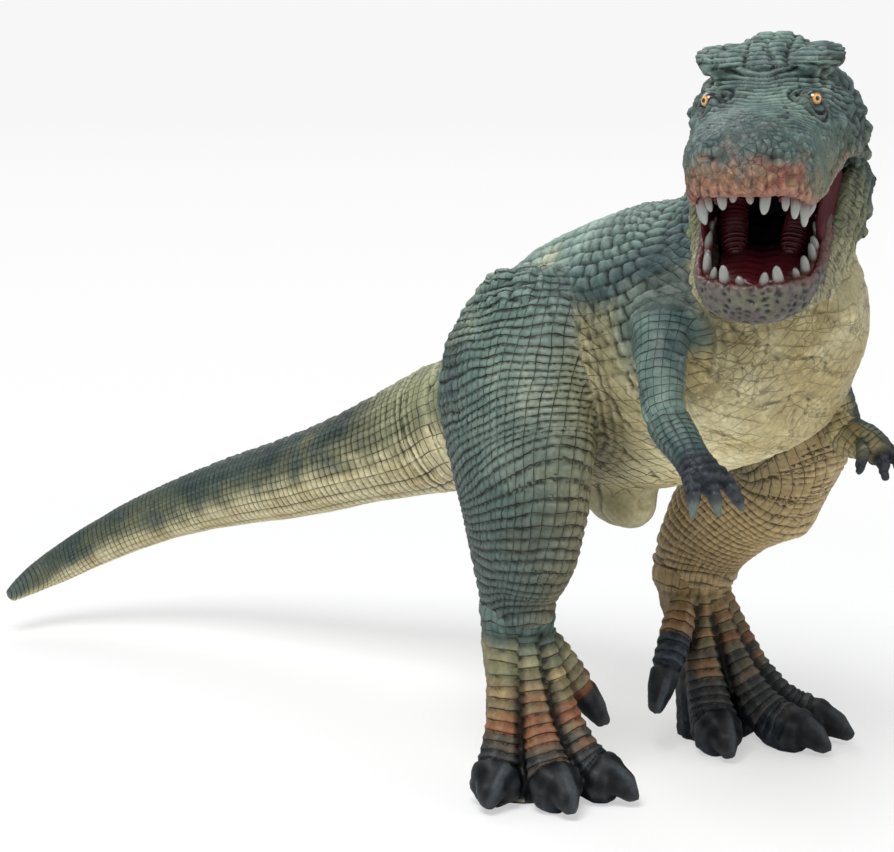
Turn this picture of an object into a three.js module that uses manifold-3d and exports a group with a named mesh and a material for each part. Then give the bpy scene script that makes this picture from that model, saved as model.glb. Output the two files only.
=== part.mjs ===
// A moulded plastic toy figure of a large two-legged dinosaur, in millimetres.
// It looks along -Y, its left side is +X, and it stands on Z = 0.
// The body is a hollow shell. The head, legs, feet and tail are moulded apart and plugged in.
// The jaw swings on a pin, and the forearms and the tail turn on their plugs.

import * as THREE from "three";
import { mergeVertices } from "three/addons/utils/BufferGeometryUtils.js";
import Module from "manifold-3d";

const wasm = await Module();
wasm.setup();

// Fits and walls
const GAP = 0.3;
const WALL = 3.2;
const OVERRUN = 80;
const WELD = 0.0005;

// Body
const HIP_HEIGHT = 97;
const TORSO_LENGTH = 100;
const TORSO_WIDTH = 58;
const TORSO_DEPTH = 70;
const NECK_LENGTH = 50;
const NECK_WIDTH = 40;
const NECK_PLUG_RADIUS = 5;
const NECK_PLUG_LENGTH = 18;

// Tail
const TAIL_LENGTH = 150;
const TAIL_ROOT_RADIUS = 18;
const TAIL_WALL = 2.4;
const TAIL_PLUG_RADIUS = 7;
const TAIL_PLUG_LENGTH = 26;

// Legs and feet
const THIGH_WIDTH = 36;
const THIGH_DEPTH = 60;
const HIP_PLUG_RADIUS = 7;
const HIP_PLUG_LENGTH = 18;
const ANKLE_PEG_RADIUS = 4;
const ANKLE_PEG_LENGTH = 12;
const TOE_REACH = 30;
const TOE_WIDTH = 12.5;

// Arms
const ARM_LENGTH = 40;
const ARM_WIDTH = 10;
const FINGER_LENGTH = 10;
const FINGER_WIDTH = 3.4;
const ELBOW_PLUG_RADIUS = 2.4;
const ELBOW_PLUG_LENGTH = 10;

// Head
const HEAD_LENGTH = 64;
const HEAD_WIDTH = 38;
const HEAD_HEIGHT = 36;
const HEAD_TURN = -49;
const HEAD_NOD = 6;
const HEAD_TILT = -2;
const LIP_WALL = 2.4;
const PALATE_WALL = 1.6;
const PALATE_HEIGHT = 6.5;
const EYE_RADIUS = 2.7;

// Jaw and teeth
const JAW_LENGTH = 52;
const JAW_WIDTH = 27;
const JAW_DEPTH = 15;
const JAW_GAPE = 18;
const JAW_WALL = 2.4;
const JAW_CLEARANCE = 1.2;
const JAW_FLOOR = 3;
const JAW_KNUCKLE_RADIUS = 6.5;
const JAW_KNUCKLE_WIDTH = 26;
const JAW_PIN_RADIUS = 1.6;
const JAW_PIN_LENGTH = 31;
const GUM_RADIUS = 1.5;
const TOOTH_LENGTH = 6;
const TOOTH_RADIUS = 1.25;
const TOOTH_PITCH = 5.5;
const TONGUE_WIDTH = 12;

const v3 = (x, y, z) => new THREE.Vector3(x, y, z);
const UP = v3(0, 0, 1);
const DOWN = v3(0, 0, -1);
const FRONT = v3(0, -1, 0);
const BACK = v3(0, 1, 0);
const LEFT = v3(1, 0, 0);
const FRONT_UP = v3(0, -1, 1).normalize();
const GROUND = v3(0, 0, 0);
const HIPS = v3(0, 0, HIP_HEIGHT);

const paint = (color, roughness) =>
  new THREE.MeshStandardMaterial({ color, roughness, metalness: 0 });
const paints = {
  hide: paint("#6f8f8b", 0.7),
  belly: paint("#c9c096", 0.7),
  tail: paint("#8e9a80", 0.7),
  foot: paint("#3a3f44", 0.5),
  hand: paint("#33454f", 0.55),
  mouth: paint("#5a1f28", 0.45),
  tooth: paint("#d8d2c2", 0.4),
  jaw: paint("#8d8577", 0.65),
  eye: paint("#d99a2b", 0.2),
  peg: paint("#b9b4a8", 0.6),
};

// A closed BufferGeometry as a solid that can be joined and cut
function solidOf(geometry, matrix = new THREE.Matrix4()) {
  const bare = geometry.index ? geometry.toNonIndexed() : geometry.clone();
  bare.deleteAttribute("normal");
  bare.deleteAttribute("uv");
  bare.applyMatrix4(matrix);
  const welded = mergeVertices(bare, WELD);
  const mesh = new wasm.Mesh({
    numProp: 3,
    vertProperties: new Float32Array(welded.attributes.position.array),
    triVerts: new Uint32Array(welded.index.array),
  });
  return new wasm.Manifold(mesh);
}

function join(...solids) {
  return solids.reduce((all, next) => all.add(next));
}

function cut(solid, ...tools) {
  return tools.reduce((left, tool) => left.subtract(tool), solid);
}

// The faces of the body with the most of them, without the slivers that a cut can leave
function mainBody(triVerts) {
  const owner = Array.from({ length: Math.max(...triVerts) + 1 }, (_, i) => i);
  const rootOf = (i) => {
    let at = i;
    while (owner[at] !== at) at = owner[at];
    owner[i] = at;
    return at;
  };
  const faces = [];
  for (let i = 0; i < triVerts.length; i += 3) faces.push(triVerts.slice(i, i + 3));
  faces.forEach(([a, b, c]) => {
    owner[rootOf(b)] = rootOf(a);
    owner[rootOf(c)] = rootOf(a);
  });
  const bodies = new Map();
  faces.forEach((face) => {
    const root = rootOf(face[0]);
    bodies.set(root, [...(bodies.get(root) || []), face]);
  });
  const sorted = [...bodies.values()].sort((one, other) => other.length - one.length);
  return sorted[0].flatMap((face) => [...face]);
}

function meshOf(name, solid, material) {
  const { vertProperties, triVerts } = solid.getMesh();
  const geometry = new THREE.BufferGeometry();
  geometry.setAttribute("position", new THREE.Float32BufferAttribute(vertProperties, 3));
  geometry.setIndex(mainBody(triVerts));
  geometry.computeVertexNormals();
  const mesh = new THREE.Mesh(geometry, material);
  mesh.name = name;
  return mesh;
}

// Turns a lofted geometry's faces outwards
function facingOut(positions, faces) {
  const [a, b, c] = [v3(0, 0, 0), v3(0, 0, 0), v3(0, 0, 0)];
  const volume = faces.reduce((sum, [i, j, k]) => {
    a.fromArray(positions[i]);
    b.fromArray(positions[j]);
    c.fromArray(positions[k]);
    return sum + a.dot(b.cross(c));
  }, 0);
  return volume < 0 ? faces.map(([i, j, k]) => [i, k, j]) : faces;
}

// A form is a list of rows, each a place on the spine and the half width, rise and drop there.
// The rise points to the form's top side.
function sample(form, share) {
  const places = form.rows.map(([x, y, z]) => v3(x, y, z));
  const sizes = form.rows.map(([, , , width, rise, drop]) => v3(width, rise, drop));
  const spine = new THREE.CatmullRomCurve3(places);
  const girth = new THREE.CatmullRomCurve3(sizes);
  const place = spine.getPoint(share);
  const tangent = spine.getTangent(share);
  const [width, rise, drop] = girth.getPoint(share).toArray();
  const up = form.top.clone().addScaledVector(tangent, -form.top.dot(tangent)).normalize();
  const side = up.clone().cross(tangent).normalize();
  return { place, tangent, side, up, width, rise, drop };
}

const atRow = (form, row) => sample(form, row / (form.rows.length - 1));

const ROUND = 2;

function power(value, square) {
  return Math.sign(value) * Math.abs(value) ** (ROUND / square);
}

function loft(form, grow = 0) {
  const { rings, sides, square = ROUND, domeShares = [0.4, 0.4] } = form;
  const positions = [];
  const faces = [];
  for (let ring = 0; ring <= rings; ring += 1) {
    const { place, side, up, width, rise, drop } = sample(form, ring / rings);
    for (let i = 0; i < sides; i += 1) {
      const turn = (i / sides) * Math.PI * 2;
      const half = Math.sin(turn) > 0 ? rise : drop;
      const across = power(Math.cos(turn), square) * Math.max(width + grow, GAP);
      const along = power(Math.sin(turn), square) * Math.max(half + grow, GAP);
      const point = place.clone().addScaledVector(side, across).addScaledVector(up, along);
      positions.push(point.toArray());
    }
  }
  for (let ring = 0; ring < rings; ring += 1) {
    for (let i = 0; i < sides; i += 1) {
      const a = ring * sides + i;
      const b = ring * sides + ((i + 1) % sides);
      faces.push([a, b, b + sides], [a, b + sides, a + sides]);
    }
  }
  [0, 1].forEach((end) => {
    const { place, tangent, width, rise, drop } = sample(form, end);
    const reach = Math.min(width, (rise + drop) / 2) * domeShares[end] + grow;
    const pole = place.clone().addScaledVector(tangent, end ? reach : -reach);
    const first = end ? rings * sides : 0;
    positions.push(pole.toArray());
    for (let i = 0; i < sides; i += 1) {
      const a = first + i;
      const b = first + ((i + 1) % sides);
      faces.push(end ? [a, b, positions.length - 1] : [b, a, positions.length - 1]);
    }
  });
  const geometry = new THREE.BufferGeometry();
  geometry.setAttribute("position", new THREE.Float32BufferAttribute(positions.flat(), 3));
  geometry.setIndex(facingOut(positions, faces).flat());
  return geometry;
}

const skin = (form, grow, matrix) => solidOf(loft(form, grow), matrix);

// The same form with fewer faces, for an inner face
const INNER_SIDES = 14;
const innerRingShare = 0.75;
const coarse = (form) => ({
  ...form,
  rings: Math.ceil(form.rings * innerRingShare),
  sides: INNER_SIDES,
});

// Rows from shares: places in shares of a length from an origin, sizes in shares of width and depth
function rowsFrom(shares, origin, length, width, depth) {
  return shares.map(([x, y, z, halfWidth, rise, drop]) => [
    origin.x + x * length,
    origin.y + y * length,
    origin.z + z * length,
    halfWidth * width,
    rise * depth,
    drop * depth,
  ]);
}

const shareOf = (size, [x, y, z]) => v3(x * size, y * size, z * size);

function turnedTo(geometry, from, direction, place) {
  geometry.applyQuaternion(new THREE.Quaternion().setFromUnitVectors(from, direction));
  geometry.translate(place.x, place.y, place.z);
  return geometry;
}

// A round peg centred on a place
const PEG_SIDES = 14;

function peg(place, direction, radius, length, grow = 0, matrix = undefined) {
  const across = radius + grow;
  const geometry = new THREE.CylinderGeometry(across, across, length + grow * 2, PEG_SIDES);
  return solidOf(turnedTo(geometry, BACK, direction, place), matrix);
}

const BALL_SIDES = 12;
const BALL_RINGS = 8;

function ball(place, radius, grow = 0) {
  const geometry = new THREE.SphereGeometry(radius + grow, BALL_SIDES, BALL_RINGS);
  geometry.translate(place.x, place.y, place.z);
  return solidOf(geometry);
}

// Everything past a plane
function past(place, direction) {
  const geometry = new THREE.BoxGeometry(OVERRUN * 2, OVERRUN * 2, OVERRUN * 2);
  geometry.translate(0, 0, OVERRUN);
  return solidOf(turnedTo(geometry, UP, direction, place));
}

// Cuts a form's solid square at a seam, half a gap short of it
function endAt(solid, { place, tangent }, keepStart) {
  const direction = keepStart ? tangent.clone() : tangent.clone().negate();
  const edge = place.clone().addScaledVector(direction, -GAP / 2);
  return cut(solid, past(edge, direction));
}

// A side view outline in Y and Z, pushed through from side to side
function sideCutter(points, halfWidth) {
  const shape = new THREE.Shape(points.map(([y, z]) => new THREE.Vector2(y, z)));
  const geometry = new THREE.ExtrudeGeometry(shape, {
    depth: halfWidth * 2,
    bevelEnabled: false,
    steps: 1,
  });
  geometry.translate(0, 0, -halfWidth);
  return solidOf(geometry, new THREE.Matrix4().makeBasis(BACK, UP, LEFT));
}

// Tail
const tailSeatShare = [-0.03, 0.52, -0.2];
const TAIL_SEAT = HIPS.clone().add(shareOf(TORSO_LENGTH, tailSeatShare));
const tailShares = [
  [0.007, -0.067, 0.03, 1, 1, 1],
  [0, 0, 0, 1, 1, 1],
  [-0.025, 0.08, -0.037, 0.96, 0.96, 0.96],
  [-0.093, 0.213, -0.097, 0.76, 0.76, 0.74],
  [-0.147, 0.353, -0.153, 0.66, 0.66, 0.66],
  [-0.207, 0.487, -0.2, 0.56, 0.57, 0.56],
  [-0.28, 0.613, -0.25, 0.46, 0.47, 0.46],
  [-0.367, 0.707, -0.307, 0.38, 0.4, 0.38],
  [-0.467, 0.793, -0.38, 0.29, 0.31, 0.29],
  [-0.53, 0.807, -0.413, 0.2, 0.22, 0.2],
  [-0.57, 0.805, -0.433, 0.1, 0.12, 0.1],
];
const tail = {
  rows: rowsFrom(tailShares, TAIL_SEAT, TAIL_LENGTH, TAIL_ROOT_RADIUS, TAIL_ROOT_RADIUS),
  top: UP,
  rings: 16,
  sides: 16,
};
const tailSeam = atRow(tail, 1);

// Torso, from the tail seam to the chest. Its last rows are the tail's first, so that they meet.
const torsoShares = [
  [-0.015, 0.3, -0.11, 0.37, 0.36, 0.31],
  [-0.01, 0.12, -0.04, 0.43, 0.48, 0.4],
  [0, -0.1, 0.02, 0.46, 0.52, 0.45],
  [0.02, -0.3, 0.1, 0.5, 0.5, 0.46],
  [0.06, -0.48, 0.17, 0.53, 0.44, 0.45],
  [0.1, -0.61, 0.21, 0.46, 0.36, 0.4],
  [0.12, -0.71, 0.22, 0.24, 0.18, 0.22],
];
const torso = {
  rows: [
    ...tail.rows.slice(0, 3).reverse(),
    ...rowsFrom(torsoShares, HIPS, TORSO_LENGTH, TORSO_WIDTH, TORSO_DEPTH),
  ],
  top: UP,
  rings: 15,
  sides: 20,
};

const neckShares = [
  [0.1, -0.64, 0.3, 0.64, 0.5, 0.75],
  [0.16, -0.9, 0.62, 0.57, 0.45, 0.6],
  [0.22, -1.06, 0.92, 0.5, 0.42, 0.45],
  [0.26, -1.12, 1.16, 0.4, 0.34, 0.34],
];
const neck = {
  rows: rowsFrom(neckShares, HIPS, NECK_LENGTH, NECK_WIDTH, NECK_WIDTH),
  top: BACK,
  rings: 6,
  sides: 20,
};

const pelvisShares = [
  [0, 0.1, -0.1, 0.2, 0.2, 0.2],
  [0, -0.02, -0.22, 0.19, 0.2, 0.2],
  [0, -0.12, -0.31, 0.14, 0.15, 0.13],
  [0, -0.17, -0.35, 0.07, 0.07, 0.06],
];
const pelvis = {
  rows: rowsFrom(pelvisShares, HIPS, TORSO_LENGTH, TORSO_WIDTH, TORSO_DEPTH),
  top: FRONT,
  rings: 5,
  sides: 12,
};

const bodySkin = (grow) => join(skin(torso, grow), skin(neck, grow), skin(pelvis, grow));

// Arms, as the right one, with the left one's own rows where it is held otherwise
const SHOULDERS = HIPS.clone().add(shareOf(TORSO_LENGTH, [0, -0.5, 0.2]));
const rightArmShares = [
  [-0.5, 0, 0.05, 0.8, 0.8, 0.8],
  [-0.68, -0.22, -0.15, 0.65, 0.65, 0.65],
  [-0.78, -0.35, -0.35, 0.53, 0.53, 0.53],
  [-0.81, -0.45, -0.48, 0.5, 0.5, 0.5],
  [-0.83, -0.58, -0.56, 0.47, 0.47, 0.47],
  [-0.84, -0.7, -0.64, 0.4, 0.4, 0.4],
  [-0.85, -0.8, -0.7, 0.44, 0.34, 0.34],
  [-0.85, -0.86, -0.75, 0.38, 0.28, 0.28],
];
const leftArmShares = [
  [0.55, 0.15, -0.12, 0.8, 0.8, 0.8],
  [0.69, 0.02, -0.4, 0.65, 0.65, 0.65],
  [0.77, -0.07, -0.64, 0.53, 0.53, 0.53],
  [0.79, -0.15, -0.78, 0.5, 0.5, 0.5],
  [0.81, -0.23, -0.79, 0.47, 0.47, 0.47],
  [0.81, -0.32, -0.8, 0.42, 0.42, 0.42],
  [0.79, -0.4, -0.82, 0.42, 0.34, 0.34],
  [0.77, -0.45, -0.84, 0.36, 0.28, 0.28],
];
const ELBOW_ROW = 3;
const fingerSpreadShares = [-0.7, 0, 0.7];
const fanShare = 0.5;
const handShare = 0.5;
const fingerCurlShare = 0.25;
const clawShare = 0.33;

function armForm(shares) {
  return {
    rows: rowsFrom(shares, SHOULDERS, ARM_LENGTH, ARM_WIDTH, ARM_WIDTH),
    top: FRONT_UP,
    rings: 9,
    sides: 10,
  };
}

function fingers(arm) {
  const { place, tangent, side, up } = sample(arm, 1);
  return fingerSpreadShares.map((spread) => {
    const reach = tangent.clone().addScaledVector(side, spread * fanShare).normalize();
    const start = place.clone().addScaledVector(side, spread * handShare * ARM_WIDTH);
    start.addScaledVector(tangent, -FINGER_WIDTH);
    const knuckle = start.clone().addScaledVector(reach, FINGER_LENGTH / 2);
    const tip = start.clone().addScaledVector(reach, FINGER_LENGTH);
    tip.addScaledVector(up, -FINGER_LENGTH * fingerCurlShare);
    const half = FINGER_WIDTH / 2;
    const claw = half * clawShare;
    const rows = [
      [...start.toArray(), half, half, half],
      [...knuckle.toArray(), half, half, half],
      [...tip.toArray(), claw, claw, claw],
    ];
    return skin({ rows, top: FRONT_UP, rings: 3, sides: 6 });
  });
}

const rightArm = armForm(rightArmShares);
const leftArm = armForm(leftArmShares);
const elbowPeg = (arm, grow) => {
  const { place, tangent } = atRow(arm, ELBOW_ROW);
  return peg(place, tangent, ELBOW_PLUG_RADIUS, ELBOW_PLUG_LENGTH, grow);
};
const upperArm = (arm) => endAt(skin(arm), atRow(arm, ELBOW_ROW), true);
const forearm = (arm) => {
  const below = endAt(skin(arm), atRow(arm, ELBOW_ROW), false);
  return cut(join(below, ...fingers(arm)), elbowPeg(arm, GAP));
};

// Legs
const rightLegShares = [
  [-0.25, -0.05, 1.26, 0.22, 0.22, 0.22],
  [-0.29, -0.07, 1.15, 0.36, 0.32, 0.35],
  [-0.32, -0.09, 1.01, 0.42, 0.38, 0.45],
  [-0.34, -0.13, 0.87, 0.4, 0.38, 0.39],
  [-0.36, -0.18, 0.74, 0.35, 0.35, 0.35],
  [-0.37, -0.19, 0.62, 0.3, 0.28, 0.33],
  [-0.37, -0.17, 0.53, 0.25, 0.21, 0.25],
  [-0.37, -0.17, 0.45, 0.23, 0.15, 0.17],
  [-0.37, -0.16, 0.39, 0.23, 0.15, 0.17],
];
const leftLegShares = [
  [0.23, -0.02, 1.21, 0.22, 0.23, 0.2],
  [0.26, -0.08, 1.09, 0.39, 0.38, 0.35],
  [0.29, -0.17, 0.97, 0.47, 0.45, 0.43],
  [0.34, -0.26, 0.85, 0.44, 0.43, 0.43],
  [0.36, -0.27, 0.75, 0.4, 0.34, 0.37],
  [0.34, -0.16, 0.63, 0.35, 0.22, 0.33],
  [0.31, -0.07, 0.52, 0.3, 0.18, 0.27],
  [0.29, -0.04, 0.43, 0.26, 0.17, 0.2],
  [0.29, -0.04, 0.37, 0.25, 0.17, 0.18],
];
const ANKLE_ROW = 7;
const hipShare = [0.27, -0.06, 0];

function legForm(shares) {
  return {
    rows: rowsFrom(shares, GROUND, HIP_HEIGHT, THIGH_WIDTH, THIGH_DEPTH),
    top: FRONT,
    rings: 11,
    sides: 16,
  };
}

const rightLeg = legForm(rightLegShares);
const leftLeg = legForm(leftLegShares);

function hipPeg(side, grow) {
  const place = HIPS.clone().add(shareOf(TORSO_LENGTH, hipShare));
  place.x *= side;
  return peg(place, LEFT, HIP_PLUG_RADIUS, HIP_PLUG_LENGTH, grow);
}

function anklePeg(leg, grow) {
  const { place, tangent } = atRow(leg, ANKLE_ROW);
  return peg(place, tangent, ANKLE_PEG_RADIUS, ANKLE_PEG_LENGTH, grow);
}

const legSolid = (leg, side) =>
  cut(
    endAt(skin(leg), atRow(leg, ANKLE_ROW), true),
    bodySkin(GAP),
    skin(side > 0 ? leftArm : rightArm, GAP),
    hipPeg(side, GAP),
    anklePeg(leg, GAP),
  );

// Feet. A toe runs from the ankle to its tip: the share of the way, the height in shares
// of the ankle's height, and the half width, rise and drop in shares of a toe's width.
const toeShares = [
  [0, 0.92, 0.4, 0.36, 0.36],
  [0.16, 0.62, 0.42, 0.38, 0.4],
  [0.36, 0.34, 0.44, 0.42, 0.44],
  [0.58, 0.18, 0.5, 0.46, 0.6],
  [0.74, 0.14, 0.52, 0.48, 0.6],
  [0.86, 0.13, 0.42, 0.4, 0.5],
];
const clawShares = [
  [0.74, 0.15, 0.4, 0.4, 0.4],
  [0.9, 0.13, 0.32, 0.34, 0.36],
  [1.06, 0.05, 0.12, 0.12, 0.14],
];
const backToeShares = [
  [0.1, 0.85, 0.36, 0.36, 0.36],
  [0.45, 0.66, 0.36, 0.36, 0.36],
  [0.8, 0.44, 0.3, 0.3, 0.3],
  [1, 0.3, 0.14, 0.14, 0.14],
];
const rightToeTips = [
  [0.45, -0.88],
  [-0.12, -0.86],
  [-0.57, -0.42],
];
const leftToeTips = [
  [-0.36, -0.92],
  [0.4, -1.22],
  [0.78, -1.08],
];
const rightBackToeTip = [0.74, -0.14];
const leftBackToeTip = [-0.8, -0.5];
const ankleSpreadShare = 0.12;
const heelShares = [
  [0, 0, 1, 0.68, 0.7, 0.8],
  [0.06, 0.1, 0.6, 0.74, 0.6, 0.72],
  [0.1, 0.18, 0.26, 0.86, 0.66, 0.75],
  [0.12, 0.2, 0, 0.86, 0.75, 0.78],
];

function toe(ankle, [tipX, tipY], shares) {
  const rows = shares.map(([way, height, width, rise, drop]) => [
    ankle.x + tipX * TOE_REACH * (ankleSpreadShare + (1 - ankleSpreadShare) * way),
    ankle.y + tipY * TOE_REACH * (ankleSpreadShare + (1 - ankleSpreadShare) * way),
    ankle.z * height,
    width * TOE_WIDTH,
    rise * TOE_WIDTH,
    drop * TOE_WIDTH,
  ]);
  return skin({ rows, top: FRONT_UP, rings: shares.length, sides: 8 });
}

function foot(leg, toeTips, backToeTip) {
  const seam = atRow(leg, ANKLE_ROW);
  const [midX, midY] = toeTips[1];
  const heelRows = heelShares.map(([, way, height, width, rise, drop]) => [
    seam.place.x + midX * TOE_REACH * way,
    seam.place.y + midY * TOE_REACH * way,
    seam.place.z * height,
    width * TOE_WIDTH,
    rise * TOE_WIDTH,
    drop * TOE_WIDTH,
  ]);
  const shank = { rows: [...leg.rows.slice(ANKLE_ROW - 1), ...heelRows.slice(1)] };
  const solids = [
    skin({ ...shank, top: FRONT, rings: 7, sides: 14 }),
    ...toeTips.map((tip) => toe(seam.place, tip, toeShares)),
    ...toeTips.map((tip) => toe(seam.place, tip, clawShares)),
    toe(seam.place, backToeTip, backToeShares),
  ];
  return cut(join(endAt(join(...solids), seam, false), anklePeg(leg, 0)), past(GROUND, DOWN));
}

// Head, in a frame of its own: the jaw's hinge at the origin and the snout towards -Y
const headSeatShare = [0.025, -1.28, 1.2];
const HEAD_SEAT = HIPS.clone().add(shareOf(NECK_LENGTH, headSeatShare));
const headShares = [
  [0, 0.28, 0, 0.29, 0.28, 0.3],
  [0, 0.16, 0.02, 0.43, 0.44, 0.42],
  [0, 0.04, 0.03, 0.49, 0.52, 0.44],
  [0, -0.08, 0.04, 0.5, 0.55, 0.46],
  [0, -0.22, 0.045, 0.465, 0.52, 0.5],
  [0, -0.37, 0.045, 0.41, 0.4, 0.52],
  [0, -0.53, 0.05, 0.39, 0.31, 0.48],
  [0, -0.68, 0.06, 0.38, 0.27, 0.42],
  [0, -0.78, 0.06, 0.33, 0.23, 0.38],
  [0, -0.84, 0.055, 0.22, 0.17, 0.28],
];
const head = {
  rows: rowsFrom(headShares, GROUND, HEAD_LENGTH, HEAD_WIDTH, HEAD_HEIGHT),
  top: UP,
  rings: 13,
  sides: 20,
  square: 2.1,
  domeShares: [0.5, 0.5],
};
// A broad plate over each eye, from the middle of the skull outwards
const browShares = [
  [0.03, -0.16, 0.3, 0.26, 0.08, 0.14],
  [0.12, -0.18, 0.32, 0.27, 0.07, 0.13],
  [0.19, -0.16, 0.33, 0.2, 0.06, 0.1],
  [0.225, -0.14, 0.325, 0.1, 0.05, 0.07],
];
const crownShares = [
  [0, -0.32, 0.28, 0.12, 0.08, 0.08],
  [0, -0.18, 0.335, 0.2, 0.1, 0.11],
  [0, -0.02, 0.33, 0.2, 0.11, 0.11],
  [0, 0.12, 0.25, 0.14, 0.1, 0.09],
];
const eyeShare = [0.165, -0.4, 0.2];
const neckPlugShare = [0, 0.2, -0.08];
const lipShares = [
  [-0.92, -0.01],
  [-0.8, -0.03],
  [-0.7, -0.075],
  [-0.6, -0.1],
  [-0.5, -0.085],
  [-0.4, -0.045],
  [-0.25, -0.01],
  [-0.125, -0.01],
];
const cheekShares = [
  [0, -0.17],
  [0.08, -0.35],
];

const toothLengthShares = [0.7, 1, 0.8, 0.55, 0.95, 0.7, 0.85, 0.6];
const toothBendShares = [
  [0, 0, 1],
  [0.55, 0.08, 0.95],
  [1, 0, 0.25],
];

const mirrored = (form) => ({ ...form, rows: form.rows.map(([x, ...rest]) => [-x, ...rest]) });
const headForm = (shares, rings, sides) => ({
  rows: rowsFrom(shares, GROUND, HEAD_LENGTH, HEAD_WIDTH, HEAD_HEIGHT),
  top: UP,
  rings,
  sides,
});
const brow = headForm(browShares, 6, 8);
const crown = headForm(crownShares, 5, 10);
const sized = (shares, size) => shares.map(([y, z]) => [y * size, z * size]);

// The height of a lip line at a place along the jaw
function levelAt(line, y) {
  const next = line.findIndex(([at]) => at > y);
  if (next < 1) return next ? line[line.length - 1][1] : line[0][1];
  const [[y0, z0], [y1, z1]] = [line[next - 1], line[next]];
  return z0 + ((z1 - z0) * (y - y0)) / (y1 - y0);
}

// The line of a row of teeth round a jaw, set in from its skin at the height of the lip
const GUM_SAMPLES = 12;

function gumForm(form, line, lift, inset, back) {
  const side = [];
  for (let i = 0; i <= GUM_SAMPLES; i += 1) {
    const { place, width, rise, drop } = sample(form, i / GUM_SAMPLES);
    const level = levelAt(line, place.y) + lift;
    const half = level > place.z ? rise : drop;
    const share = Math.min(Math.abs((level - place.z) / half), 1) ** form.square;
    const across = width * (1 - share) ** (1 / form.square);
    if (place.y < back) side.push(v3(across, place.y, level));
  }
  const end = sample(form, 1);
  const level = levelAt(line, end.place.y) + lift;
  const dome = Math.min(end.width, (end.rise + end.drop) / 2) * form.domeShares[1];
  const half = level > end.place.z ? end.rise : end.drop;
  const reach = dome * (1 - Math.abs(level - end.place.z) / half);
  const edge = [...side, v3(0, end.place.y - reach, level)];
  const inner = edge.map((at, i) => {
    const before = edge[Math.max(i - 1, 0)];
    const after = edge[i + 1] || before.clone().setX(-before.x);
    const along = after.clone().sub(before).setZ(0).normalize();
    return at.clone().add(v3(along.y, -along.x, 0).multiplyScalar(inset));
  });
  const around = [...inner, ...inner.slice(0, -1).reverse().map(({ x, y, z }) => v3(-x, y, z))];
  const spine = new THREE.CatmullRomCurve3(around);
  const steps = Math.floor(spine.getLength() / TOOTH_PITCH) * 2;
  const rows = spine.getSpacedPoints(steps);
  return {
    rows: rows.map((at) => [...at.toArray(), GUM_RADIUS, GUM_RADIUS, GUM_RADIUS]),
    top: UP,
    rings: steps,
    sides: 6,
  };
}

// The groove for a gum bar, deeper towards its teeth so that they pass the lip
function gumGroove(gum, direction) {
  const rise = direction.z > 0 ? GUM_RADIUS + TOOTH_LENGTH : GUM_RADIUS;
  const drop = direction.z > 0 ? GUM_RADIUS : GUM_RADIUS + TOOTH_LENGTH;
  const rows = gum.rows.map(([x, y, z, width]) => [x, y, z, width, rise, drop]);
  return skin({ ...gum, rows }, GAP);
}

// One tooth stands on every second row of its gum bar
function toothRow(gum, direction) {
  const places = gum.rows.map(([x, y, z]) => v3(x, y, z));
  const roots = places.filter((_, i) => i % 2);
  const teeth = roots.map((root, i) => {
    const along = places[i * 2 + 2].clone().sub(places[i * 2]).normalize();
    const outward = along.cross(UP).normalize();
    const near = Math.min(i, roots.length - 1 - i);
    const length = TOOTH_LENGTH * toothLengthShares[near % toothLengthShares.length];
    const rows = toothBendShares.map(([way, lean, radius]) => {
      const place = root.clone().addScaledVector(direction, length * way);
      place.addScaledVector(outward, length * lean);
      const half = radius * TOOTH_RADIUS;
      return [...place.toArray(), half, half, half];
    });
    return skin({ rows, top: FRONT, rings: 2, sides: 5 });
  });
  return join(skin(gum), ...teeth);
}

const headGroup = new THREE.Group();
headGroup.position.copy(HEAD_SEAT);
headGroup.rotation.set(
  THREE.MathUtils.degToRad(HEAD_NOD),
  THREE.MathUtils.degToRad(HEAD_TILT),
  THREE.MathUtils.degToRad(HEAD_TURN),
  "ZXY",
);
headGroup.updateMatrix();
const fromHead = headGroup.matrix.clone();
const toHead = fromHead.clone().invert();
const jawGroup = new THREE.Group();
jawGroup.rotation.x = THREE.MathUtils.degToRad(JAW_GAPE);
jawGroup.updateMatrix();
headGroup.add(jawGroup);
const fromJaw = fromHead.clone().multiply(jawGroup.matrix);

// Lower jaw, in the head's frame while it is shut
const jawShares = [
  [0, 0.04, -0.02, 0.42, 0.3, 0.3],
  [0, -0.04, -0.03, 0.44, 0.36, 0.36],
  [0, -0.18, -0.08, 0.44, 0.42, 0.45],
  [0, -0.32, -0.11, 0.46, 0.45, 0.5],
  [0, -0.5, -0.14, 0.52, 0.45, 0.52],
  [0, -0.7, -0.18, 0.52, 0.42, 0.5],
  [0, -0.86, -0.19, 0.48, 0.4, 0.49],
  [0, -0.95, -0.19, 0.39, 0.34, 0.42],
  [0, -1, -0.19, 0.26, 0.26, 0.32],
];
const jaw = {
  rows: rowsFrom(jawShares, GROUND, JAW_LENGTH, JAW_WIDTH, JAW_DEPTH),
  top: UP,
  rings: 10,
  sides: 16,
  square: 2.3,
  domeShares: [0.4, 0.5],
};
const jawLipShares = [
  [-1.1, -0.1],
  [-1, -0.11],
  [-0.87, -0.14],
  [-0.72, -0.13],
  [-0.56, -0.08],
  [-0.3, -0.06],
  [-0.15, -0.05],
];
const tongueShares = [
  [0, -0.22, -0.15, 0.4, 0.2, 0.3],
  [0, -0.44, -0.16, 0.48, 0.22, 0.3],
  [0, -0.68, -0.18, 0.44, 0.2, 0.3],
  [0, -0.8, -0.19, 0.3, 0.14, 0.3],
];
const lipLine = sized(lipShares, HEAD_LENGTH);
const jawLipLine = sized(jawLipShares, JAW_LENGTH);
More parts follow.
